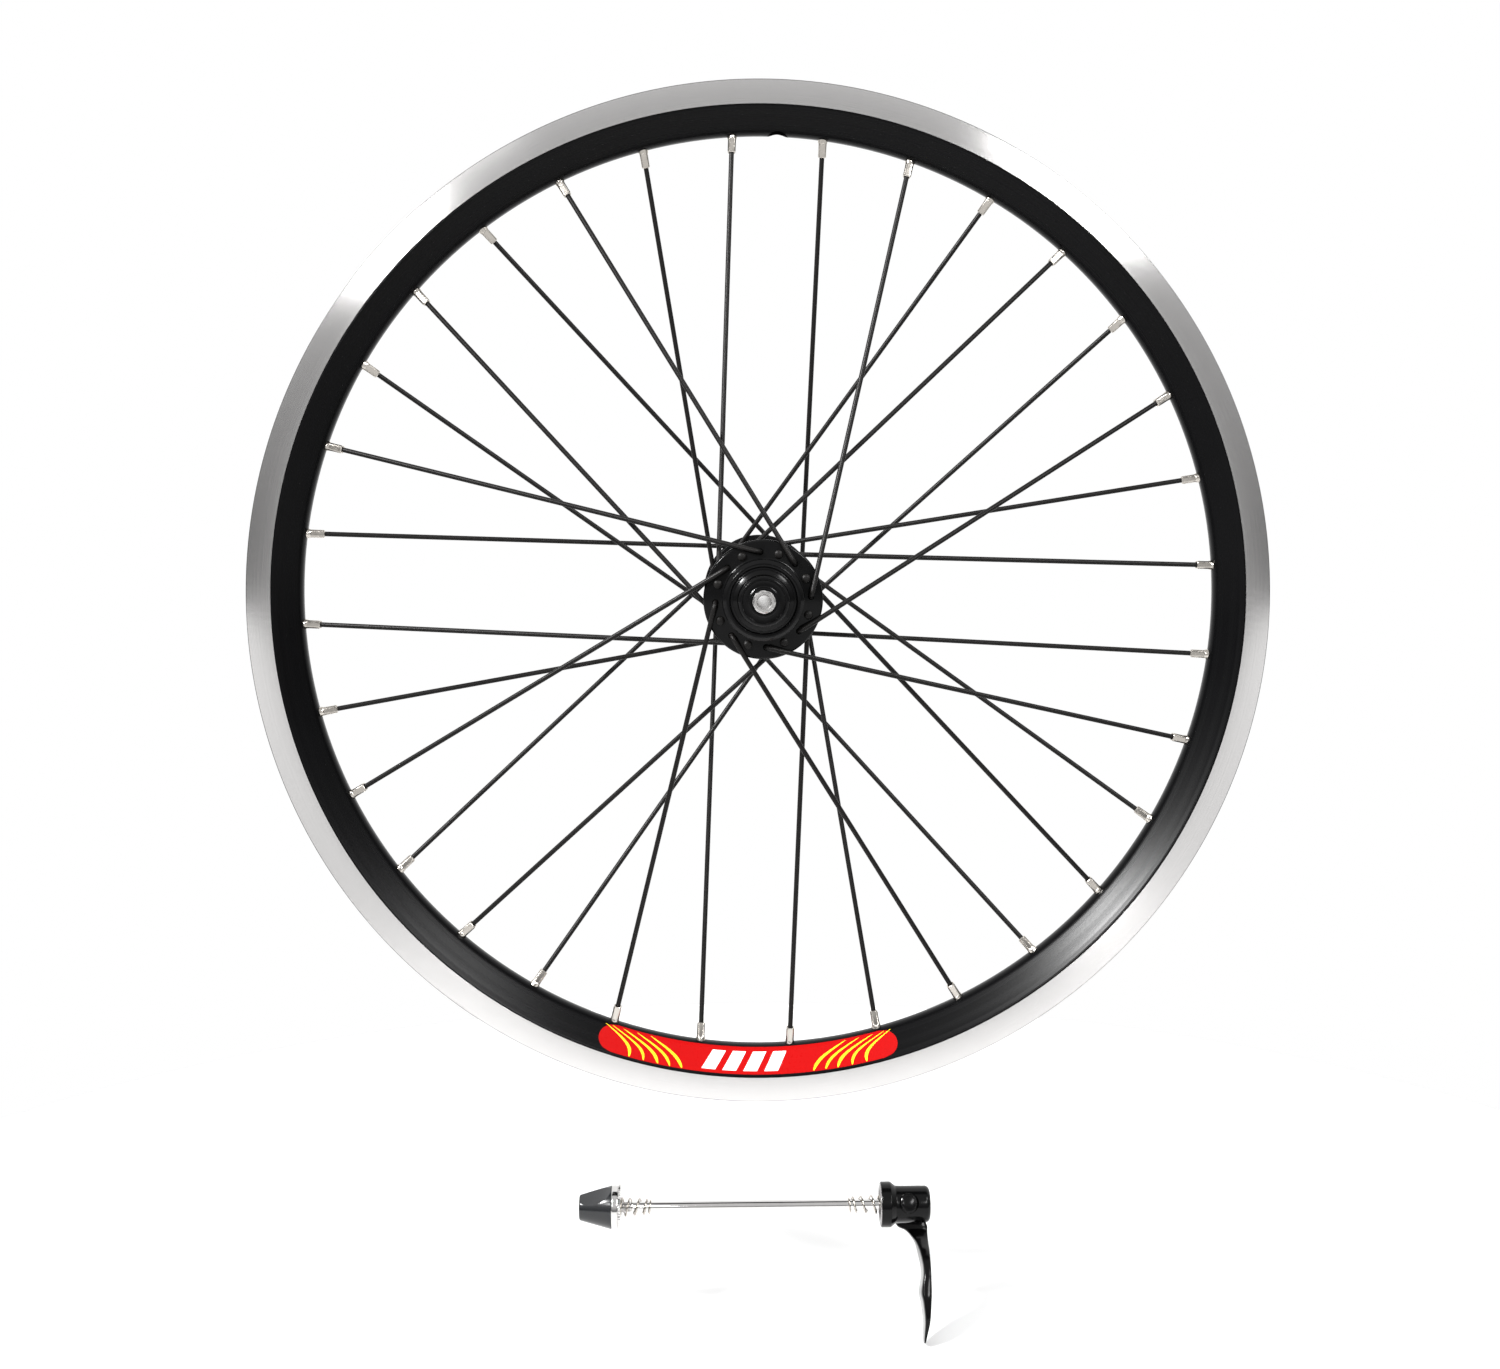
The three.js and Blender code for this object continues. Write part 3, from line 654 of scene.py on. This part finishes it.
def make_spokes():
    """The lacing repeats every four spokes, so each of the first four is copied round the wheel."""
    first_spokes = {}
    first_nipples = {}
    for number in range(1, SPOKE.count + 1):
        spoke_name = f"steel_spoke_{number:02d}"
        nipple_name = f"nipple_{number:02d}"
        kind = (number - 1) % 4
        turn = 360 / SPOKE.count * (number - 1 - kind)
        if turn == 0:
            first_spokes[kind] = make_spoke(number, spoke_name)
            first_nipples[kind] = make_nipple(number, nipple_name)
        else:
            copy_of(first_spokes[kind], spoke_name, "wheel", turn, [f"spoke_{number:02d}"])
            copy_of(first_nipples[kind], nipple_name, "wheel", turn)


make_spokes()

# ---- hub -------------------------------------------------------------------------------------


def saw(value):
    """A triangle wave from 0 to 1 and back over each whole number."""
    return 1 - abs(2 * (value % 1) - 1)


def thread(pitch, depth, start, end, core):
    """A ripple that cuts a helical thread between two places along a bar."""
    def ripple(radius, along, angle):
        if radius < core or not start <= along <= end:
            return radius
        fade = min(1, (along - start) / pitch, (end - along) / pitch)
        return radius - depth * fade * saw(along / pitch + angle / math.tau)
    return ripple


def make_hub_shell():
    half = [
        (8.6, 33.7, 0.3), (HUB.cup_bore, 33.7, 0.2), (HUB.cup_bore, 39.9, 0), (HUB.mouth, 39.9, 0.1),
        (HUB.mouth, 43.0, 0.3), (14.7, 43.0, 0.35), (16.0, 41.7, 0.4), (16.0, 36.6, 0.8),
        (HUB.flange_radius - 0.6, 35.9, 0.4), (HUB.flange_radius, 35.3, 0.35),
        (HUB.flange_radius, 34.5, 0.35), (HUB.flange_radius - 0.6, 33.9, 0.5), (16.5, 33.1, 2.5),
        (12.6, 25.5, 7),
    ]
    shell = turned(rounded(both_halves(half), 6), HUB_SEGMENTS)
    holes = []
    for number in range(1, SPOKE.count + 1):
        line = spoke_line(number)
        side = math.copysign(1, line.elbow.y)
        near = Vector((line.elbow.x, side * (HUB.flange_inner - 3), line.elbow.z))
        far = Vector((line.elbow.x, side * (HUB.flange_outer + 3), line.elbow.z))
        holes.append(rod(near, far, 1.3, 24))
    piece("hub_body", cut(shell, *holes), "wheel", "hub", [look.gloss_black], ["hub_shell"])


def make_axle():
    end = AXLE.half_length
    thread_start = 33.0
    pitch = 1.0
    chamfer = 0.7
    rings_per_mm = 8
    half = [(AXLE.bore, end - 0.4, 0), (AXLE.bore + 0.4, end, 0), (AXLE.radius - chamfer, end, 0)]
    reach = round((end - chamfer) * rings_per_mm)
    outside = [(AXLE.radius, -y / rings_per_mm) for y in range(-reach, reach + 1)]
    inside = [(radius, y) for radius, y, _ in both_halves(half)]
    outline = [inside[2], *outside, *inside[3:], *inside[:2]]

    def ripple(radius, along, angle):
        cutting = thread(pitch, 0.55, thread_start, end - 0.2, AXLE.radius - 0.1)
        return cutting(radius, abs(along), angle * math.copysign(1, along))
    shape = turned(outline, 64, ripple=ripple)
    piece("threaded_axle", shape, "axle_set", "axle", [look.bright_steel], ["axle"])


def race(first, last, steps):
    """Corners along a ball race, just clear of the balls, from one angle to another."""
    reach = BEARING.ball_radius + 0.05
    turns = [math.radians(first + (last - first) * step / steps) for step in range(steps + 1)]
    return [(BEARING.circle + reach * math.cos(turn), BEARING.plane + reach * math.sin(turn), 0)
            for turn in turns]


def make_end_set(name, side):
    """What one end of the hub holds, from the inside outwards."""
    bore = AXLE.radius + 0.05
    cone_body = 7.4
    outer_cup = HUB.cup_bore - 0.02
    mouth = HUB.mouth - 0.05

    def ring(piece_name, corners, body, slot, material, node, segments=SMALL_SEGMENTS, ripple=None):
        mesh = turned(rounded(on_side(side, corners)), segments, ripple=ripple)
        piece(f"{name}_{piece_name}", mesh, body, slot, [material], [f"{name}_{node}"] if node else [])

    cup = [(outer_cup, 34, 0.3), (outer_cup, 39.5, 0.2), (outer_cup - 0.8, 39.5, 0.2), *race(10, -80, 10),
           (8.9, 34, 0.2)]
    ring("pressed_cup", cup, "wheel", "hard_steel", look.ground_steel, "bearing_cup")
    cone = [(bore, 36.3, 0.2), (5.85, 36.3, 0.1), *race(180, 115, 8), (cone_body, 40.4, 0.3),
            (cone_body, 45, 0.3), (bore, 45, 0.2)]
    ring("adjusting_cone", cone, "axle_set", "hard_steel", look.ground_steel, "cone")
    seal = [(cone_body + 0.03, 41.4, 0.2), (9.4, 41.8, 0.4), (9.7, 42.4, 0.2), (9.4, 43.4, 0.4),
            (cone_body + 0.03, 44, 0.2)]
    ring("rubber_seal", seal, "axle_set", "seal", look.black_rubber, "seal")
    cap = [(9.9, 42.7, 0.1), (11.7, 41.2, 0.5), (12.3, 40.3, 0.3), (mouth, 40.2, 0.2), (mouth, 42.6, 0.2),
           (12.7, 43.3, 0.25), (12.1, 43.3, 0.1), (11.9, 43.6, 0.2), (10.4, 44.4, 0.3), (9.9, 44.3, 0.2)]
    ring("end_cap", cap, "wheel", "dust_cap", look.gloss_black, "dust_cap", HUB_SEGMENTS)
    washer = [(bore, 45.15, 0.1), (8.2, 45.15, 0.3), (8.2, 46.8, 0.3), (bore, 46.8, 0.1)]
    ring("keyed_washer", washer, "axle_set", "hard_steel", look.ground_steel, "lock_washer")

    def serrated(radius, along, angle):
        in_teeth = 5.6 < radius < 9.2 and abs(along) > 49
        return radius - (0.12 * saw(angle / math.tau * 48) if in_teeth else 0)
    nut = [(bore, 47, 0.2), (9.6, 47, 0.3), (10, 47.4, 0.3), (10, 49.2, 0.5), (9.2, 50, 0.25), (8.6, 50, 0.1),
           (8.3, 49.8, 0.1), (6.2, 49.8, 0.1), (5.9, 50, 0.1), (bore + 0.3, 50, 0.1), (bore, 49.7, 0)]
    ring("jam_nut", nut, "axle_set", "locknut", look.gloss_black, "locknut", 144, serrated)

    band = [(7.6, 38.9, 0.1), (9.2, 38.9, 0.1), (9.2, 39.4, 0.1), (7.6, 39.4, 0.1)]
    cage = [turned(rounded(on_side(side, band)), SMALL_SEGMENTS)]
    for number in range(BEARING.balls):
        degrees = 360 / BEARING.balls * number
        ball = bmesh.new()
        bmesh.ops.create_icosphere(ball, subdivisions=3, radius=BEARING.ball_radius)
        place = on_wheel(BEARING.circle, degrees, side * BEARING.plane)
        bmesh.ops.translate(ball, verts=ball.verts, vec=place)
        cage.append(ball)
        between = degrees + 180 / BEARING.balls
        finger = [on_wheel(BEARING.circle, between, side * along) for along in (38.95, 36.9)]
        cage.append(rod(*finger, 0.4, 16))
    piece(f"{name}_ball_cage", merged(cage), f"{name}_cage", "balls", [look.polished_ball_steel],
          [f"{name}_ball_retainer"])


make_hub_shell()
make_axle()
for side_name, side_sign in BOTH_SIDES:
    make_end_set(side_name, side_sign)

# ---- quick release skewer --------------------------------------------------------------------

PIN = Vector((PIVOT.x, 0, 0))


def skewer_piece(name, mesh, *settings):
    """Turns a mesh about the rod and lowers it to its place under the wheel."""
    place = Matrix.Translation((0, 0, PIVOT.z)) @ Matrix.Rotation(-SKEWER_LEAN, 4, "X")
    bmesh.ops.transform(mesh, matrix=place, verts=mesh.verts)
    piece(name, mesh, *settings)


def oblong(centre_x, half_width, half_height, half_depth):
    """A slab across the skewer with round ends above and below."""
    straight = half_height - half_width
    rings = []
    for depth, inset in ((-half_depth, 0.3), (0.3 - half_depth, 0), (half_depth - 0.3, 0), (half_depth, 0.3)):
        ring = []
        for i in range(48):
            turn = math.tau * i / 48
            lift = straight if math.sin(turn) >= 0 else -straight
            reach = half_width - inset
            ring.append(Vector((centre_x + reach * math.cos(turn), depth, lift + reach * math.sin(turn))))
        rings.append(ring)
    return skin(rings)


def make_rod():
    """The rod: rolled thread at the nut's end, plain shank, and an eye round the cam."""
    eye_x = PIVOT.x + CAM.throw
    end, start = SKEWER.thread_end, SKEWER.thread_start
    pitch = 0.8
    chamfer = 0.5
    rings_per_mm = 10
    threaded = [(SKEWER.thread, end + chamfer + 0.1 * i)
                for i in range(round((start - end - chamfer) * rings_per_mm))]
    shank_end = eye_x - 4.2
    outline = [(0, end), (SKEWER.thread - 0.45, end), *threaded, (SKEWER.rod, start + 0.5), (SKEWER.rod, 0),
               (SKEWER.rod, shank_end), (0, shank_end)]
    shank = turned(outline, 48, round_skewer, thread(pitch, 0.42, end, start, SKEWER.thread - 0.05))
    eye = cut(oblong(eye_x, 4.9, 5.3, 2.6), oblong(eye_x, 3.25, 4.15, 3.4))
    shape = combined(shank, eye, "UNION")
    skewer_piece("through_rod", shape, "rod", "rod", [look.rod_chrome], ["skewer_rod"])


def make_barrel():
    """The housing round the cam: a flanged cup, bored across for the pin."""
    face, end = HOUSING.face, HOUSING.end
    corners = [
        (HOUSING.cavity, face + 2.3, 0.1), (8.5, face + 2.3, 0.1), (8.5, face, 0.2),
        (HOUSING.flange, face, 0.45), (HOUSING.flange, face + 4.1, 0.7),
        (HOUSING.barrel + 0.1, face + 6.3, 1.2), (HOUSING.barrel, face + 9, 0), (HOUSING.barrel, end, 2.2),
        (0, end, 0), (0, end - 1.5, 0), (HOUSING.cavity, end - 1.5, 0.6),
    ]
    cup = turned(rounded(corners, 8), SMALL_SEGMENTS * 2, round_skewer)
    reach = Vector((0, HOUSING.flange + 2, 0))
    bored = cut(cup, rod(PIN - reach, PIN + reach, 4.1, 64))
    skewer_piece("cam_barrel", bored, "skewer_head", "cam_black", [look.gloss_black], ["cam_housing"], 40)


def make_bite_ring():
    """The steel ring in the housing's mouth, with radial teeth that grip the fork."""
    face = HOUSING.face

    def knurled(radius, along, angle):
        outer_face = along < face - 0.3 and 6.6 < radius < 8.1
        return radius + (0.1 * saw(angle / math.tau * 40) if outer_face else 0)
    ring = [(HOUSING.cavity, face - 0.1, 0.1), (6.7, face - 0.4, 0.1), (7.6, face - 0.4, 0.1),
            (8.2, face - 0.1, 0.2), (8.2, face + 2, 0.1), (HOUSING.cavity, face + 2, 0.1)]
    shape = turned(rounded(ring), 160, round_skewer, knurled)
    skewer_piece("bite_ring", shape, "skewer_head", "hard_steel", [look.ground_steel], ["housing_face_ring"])


def make_pin():
    """The cam pin, domed at its free end with a fine groove round the middle. Its cam is off centre."""
    front = -HOUSING.barrel + 0.1
    cheek, journal_radius = CAM.cheek, CAM.journal

    def journal(corners):
        return turned(rounded(corners, 4), 64, round_pivot)
    near = journal([(0, front, 0), (1.4, front + 0.06, 0), (2.6, front + 0.28, 0.1),
                    (2.75, front + 0.5, 0.05), (3.0, front + 0.5, 0.05), (3.15, front + 0.36, 0.1),
                    (journal_radius, front + 0.8, 0.3), (journal_radius, -cheek, 0.2), (0, -cheek, 0)])
    far = journal([(0, cheek, 0), (journal_radius, cheek, 0.2), (journal_radius, 8.7, 0.3), (2.8, 8.7, 0),
                   (2.8, 12.8, 0.4), (0, 12.8, 0)])
    middle = PIN + Vector((CAM.throw, 0, 0))
    reach = Vector((0, cheek + 0.2, 0))
    cam = rod(middle - reach, middle + reach, CAM.radius, 48)
    pin = combined(combined(near, cam, "UNION"), far, "UNION")
    skewer_piece("cam_axle", pin, "lever", "cam_black", [look.gloss_black], ["cam_pin"], 25)


# The lever's sections: how far below the pivot each is, its two edges along X from the pivot, and along Y.
ARM = [
    (4.5, -4.9, 7.4, 9.1, 13), (8.2, -3.8, 9, 9.1, 13), (10, -0.3, 9, 9, 13), (12.8, 2.2, 8.9, 7, 13),
    (15.5, 3.6, 8.8, 3.5, 12.7), (20, 4.5, 8.7, -2.5, 11.6), (27, 5.1, 8.6, -6.4, 9.5),
    (34.8, 3.8, 8.4, -7.6, 8.2), (39, 4.4, 8.1, -7.6, 7.8), (46, 5, 7.4, -6.6, 6.8),
    (51.5, 4.7, 6.1, -4.4, 4.6), (54.4, 4.7, 5.4, -2.4, 2.6),
]
ARM_SQUARENESS = 0.35


def smooth_between(rows, steps):
    """Rows of numbers with steps more between each two, on a Catmull-Rom curve through them."""
    padded = [rows[0], *rows, rows[-1]]
    made = []
    for a, b, c, d in zip(padded, padded[1:], padded[2:], padded[3:]):
        for step in range(steps):
            t = step / steps
            made.append([0.5 * (2 * q + (r - p) * t + (2 * p - 5 * q + 4 * r - s) * t ** 2
                                + (3 * q - p - 3 * r + s) * t ** 3) for p, q, r, s in zip(a, b, c, d)])
    return [*made, list(rows[-1])]


def arm_ring(below, inner, outer, front, back):
    """A rounded rectangle across the lever."""
    ring = []
    for i in range(40):
        turn = math.tau * i / 40
        x = math.copysign(abs(math.cos(turn)) ** ARM_SQUARENESS, math.cos(turn))
        y = math.copysign(abs(math.sin(turn)) ** ARM_SQUARENESS, math.sin(turn))
        ring.append(Vector((PIVOT.x + (inner + outer) / 2 + (outer - inner) / 2 * x,
                            (front + back) / 2 + (back - front) / 2 * y, -below)))
    return ring


def make_lever():
    """A curved arm on a round boss behind the barrel, bored for the pin."""
    rings = [arm_ring(*section) for section in smooth_between(ARM, 5)]
    tip = rings[-1]
    middle = sum(tip, Vector()) / len(tip)
    rings.append([middle + (point - middle) * 0.6 - Vector((0, 0, 0.25)) for point in tip])
    arm = skin(rings)
    outline = rounded([(0, 9.1, 0), (6.9, 9.1, 0.5), (6.9, 13, 0.9), (0, 13, 0)])
    boss = turned(outline, SMALL_SEGMENTS, round_pivot)
    bore = rod(PIN + Vector((0, 8, 0)), PIN + Vector((0, 14, 0)), 2.85, 48)
    lever = cut(combined(boss, arm, "UNION"), bore)
    skewer_piece("lever_arm", lever, "lever", "cam_black", [look.gloss_black], ["cam_lever"], 40)


def make_springs():
    """Cones of wire, wide at their seats, with their wide coil closed flat."""
    for name, node, body, seat, tip in (
        ("cam_side_coil", "lever_side_spring", "skewer_head", HOUSING.face + 1.4, HOUSING.face - 13.4),
        ("nut_side_coil", "nut_side_spring", "nut_spring", NUT.large_end + 2.7, NUT.large_end + 16.3),
    ):
        steps = 200
        points = []
        for step in range(steps + 1):
            t = step / steps
            lead = t - 0.5 * math.sin(math.tau * t) / math.tau
            radius = SPRING.wide + (SPRING.narrow - SPRING.wide) * t
            points.append(round_skewer(radius, seat + (tip - seat) * lead, math.tau * SPRING.turns * t))
        stations = []
        for i, point in enumerate(points):
            direction = points[min(i + 1, steps)] - points[max(i - 1, 0)]
            stations.append((point, direction, SPRING.wire))
        skewer_piece(name, swept(stations, 14), body, "spring", [look.spring_wire], [node])


def make_nut():
    """A cone with two hollowed finger flats, the front one turned towards the top."""
    corners = [(SKEWER.bore, NUT.large_end, 0.2), (NUT.large, NUT.large_end, 0.25),
               (NUT.small, NUT.small_end, 0.8), (3.4, NUT.small_end, 0.3),
               (SKEWER.bore, NUT.small_end + 0.5, 0)]
    cone = turned(rounded(corners, 6), SMALL_SEGMENTS * 2, round_skewer)
    scoops = []
    for facing in (1, -1):
        out = Vector((0, -1, 1)).normalized() * facing
        across = Vector((0, 1, 1)).normalized() * NUT.large * 1.5
        centre = Vector((NUT.small_end + 0.85, 0, 0)) + out * (NUT.scoop_depth + NUT.scoop_radius)
        scoops.append(rod(centre - across, centre + across, NUT.scoop_radius, 256))
    skewer_piece("finger_nut", cut(cone, *scoops), "nut", "nut", [look.nut_black], ["adjusting_nut"], 20)


def make_toothed_ring():
    """The steel ring pressed into the nut's wide end, with teeth round its face."""
    face = NUT.large_end + 3.9
    back = NUT.large_end + 0.05

    def toothed(radius, along, angle):
        return radius - (0.22 * saw(angle / math.tau * 48) if radius > 8.9 and along > face - 1.3 else 0)
    ring = [(3.2, back, 0.1), (8.8, back, 0.2), (9.0, back + 0.5, 0.5), (8.95, face - 1.5, 0.3),
            (8.75, face - 1.25, 0.1), (9.3, face - 1.0, 0.1), (9.3, face - 0.25, 0.1), (9.0, face, 0.1),
            (6.4, face, 0.3), (5.4, face - 1.8, 0.3), (3.2, face - 1.8, 0.1)]
    shape = turned(rounded(ring), 288, round_skewer, toothed)
    skewer_piece("toothed_ring", shape, "nut", "chrome", [look.rod_chrome], ["nut_face_ring"])


make_rod()
make_barrel()
make_bite_ring()
make_pin()
make_lever()
make_springs()
make_nut()
make_toothed_ring()

# ---- floor, light and camera -----------------------------------------------------------------

FLOOR = Sizes(radius=0.5, gap=0.0005)  # metres
# How bright each part of the surround is, and the heights (Z of a unit direction) between which it changes.
WORLD = Sizes(horizon=0.19, sky=0.80, rise=0.4, floor_edge=-0.065, far_floor=1.3, floor_bottom=-0.3,
              near_floor=0.9, behind=1.3, behind_starts=0.1, behind_ends=0.45)
LIGHT = Sizes(distance=1.6, spread=50)
# Name, clock angle, tilt, size across and along in metres, and how bright its face is.
LIGHTS = [
    ("left_side_box", 311, 60, 0.22, 0.30, 22),
    ("left_front_strip", 312, 35, 0.15, 0.6, 2.2),
    ("left_front_fill", 325, 35, 0.20, 0.6, 0.08),
    ("right_side_box", 44, 61, 0.42, 0.4, 1.55),
    ("right_front_strip", 43, 35, 0.25, 0.6, 2.0),
]
CAMERA = Sizes(distance=0.8, azimuth=-1.339, elevation=3.361, yaw=1.643, pitch=-2.511, lens=46.21,
               shift_x=-0.0142, shift_y=-0.0792)


def make_floor():
    """A plain pale floor just under the lever's tip."""
    mesh = bmesh.new()
    bmesh.ops.create_circle(mesh, cap_ends=True, segments=128, radius=FLOOR.radius)
    data = bpy.data.meshes.new("floor")
    mesh.to_mesh(data)
    mesh.free()
    floor = bpy.data.objects.new("floor", data)
    floor.location.z = cad_box[0].z - FLOOR.gap
    scene.collection.objects.link(floor)
    paper = Finish("white_paper", (0.77, 0.77, 0.77), 0.0, 0.9)
    paper.tint(paper.noise(400), 0.01)
    data.materials.append(paper.material)
    floor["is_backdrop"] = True


def make_world():
    """The camera sees plain white. Everything else sees a room, bright behind the wheel and dim in front."""
    world = bpy.data.worlds.new("studio")
    world.use_nodes = True
    scene.world = world
    tree = world.node_tree
    background = next(n for n in tree.nodes if n.type == "BACKGROUND")

    def add(kind, inputs, **settings):
        node = tree.nodes.new(kind)
        for setting, value in settings.items():
            setattr(node, setting, value)
        for socket, value in inputs.items():
            if isinstance(value, bpy.types.NodeSocket):
                tree.links.new(value, node.inputs[socket])
            else:
                node.inputs[socket].default_value = value
        return node.outputs[0]

    direction = tree.nodes.new("ShaderNodeTexCoord").outputs["Generated"]
    split = tree.nodes.new("ShaderNodeSeparateXYZ")
    tree.links.new(direction, split.inputs[0])

    def ramp(value, start, end, low, high, **settings):
        inputs = {"Value": value, "From Min": start, "From Max": end, "To Min": low, "To Max": high}
        return add("ShaderNodeMapRange", inputs, **settings)

    height = split.outputs["Z"]
    edge = WORLD.floor_edge
    room = ramp(height, 0.0, WORLD.rise, WORLD.horizon, WORLD.sky)
    floor = ramp(height, WORLD.floor_bottom, edge, WORLD.near_floor, WORLD.far_floor)
    front = ramp(height, edge - 0.01, edge, floor, room)
    studio = ramp(split.outputs["Y"], WORLD.behind_starts, WORLD.behind_ends, front, WORLD.behind,
                  interpolation_type="SMOOTHSTEP")
    seen = tree.nodes.new("ShaderNodeLightPath").outputs["Is Camera Ray"]
    strength = ramp(seen, 0.0, 1.0, studio, 1.0)
    tree.links.new(strength, background.inputs["Strength"])
    background.inputs["Color"].default_value = (1, 1, 1, 1)


def make_light(name, clock, tilt, across, along, radiance):
    """A soft box aimed at the hub, at that clock angle round the axle and tilted that far away from -Y."""
    turn, lean = math.radians(clock), math.radians(tilt)
    away = Vector((math.sin(lean) * math.sin(turn), -math.cos(lean), math.sin(lean) * math.cos(turn)))
    sideways = Vector((math.cos(turn), 0, -math.sin(turn)))
    data = bpy.data.lights.new(name, "AREA")
    data.shape = "RECTANGLE"
    data.size, data.size_y = across, along
    data.energy = radiance * math.pi * across * along
    data.spread = math.radians(LIGHT.spread)
    light = bpy.data.objects.new(name, data)
    turned_to_hub = Matrix((sideways, away.cross(sideways), away)).transposed()
    light.matrix_world = Matrix.Translation(away * LIGHT.distance) @ turned_to_hub.to_4x4()
    scene.collection.objects.link(light)


def aim(turn_degrees, rise_degrees):
    """A unit vector along +Y, turned towards +X and then raised."""
    turn, rise = math.radians(turn_degrees), math.radians(rise_degrees)
    return Vector((math.sin(turn) * math.cos(rise), math.cos(turn) * math.cos(rise), math.sin(rise)))


def make_camera():
    """A camera before the wheel's left side, a little above the hub."""
    data = bpy.data.cameras.new("camera")
    data.lens = CAMERA.lens
    data.sensor_width = 36
    data.shift_x = CAMERA.shift_x
    data.shift_y = CAMERA.shift_y
    data.clip_start = 0.01
    data.clip_end = 100
    camera = bpy.data.objects.new("camera", data)
    camera.location = -CAMERA.distance * aim(-CAMERA.azimuth, -CAMERA.elevation)
    camera.rotation_euler = aim(CAMERA.yaw, CAMERA.pitch).to_track_quat("-Z", "Y").to_euler()
    scene.collection.objects.link(camera)
    scene.camera = camera


make_floor()
make_world()
for settings in LIGHTS:
    make_light(*settings)
make_camera()
scene.view_settings.view_transform = "Standard"

boxes = {"cad": cad_box, "visual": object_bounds()}
{name: [list(corner) for corner in box] for name, box in boxes.items()}
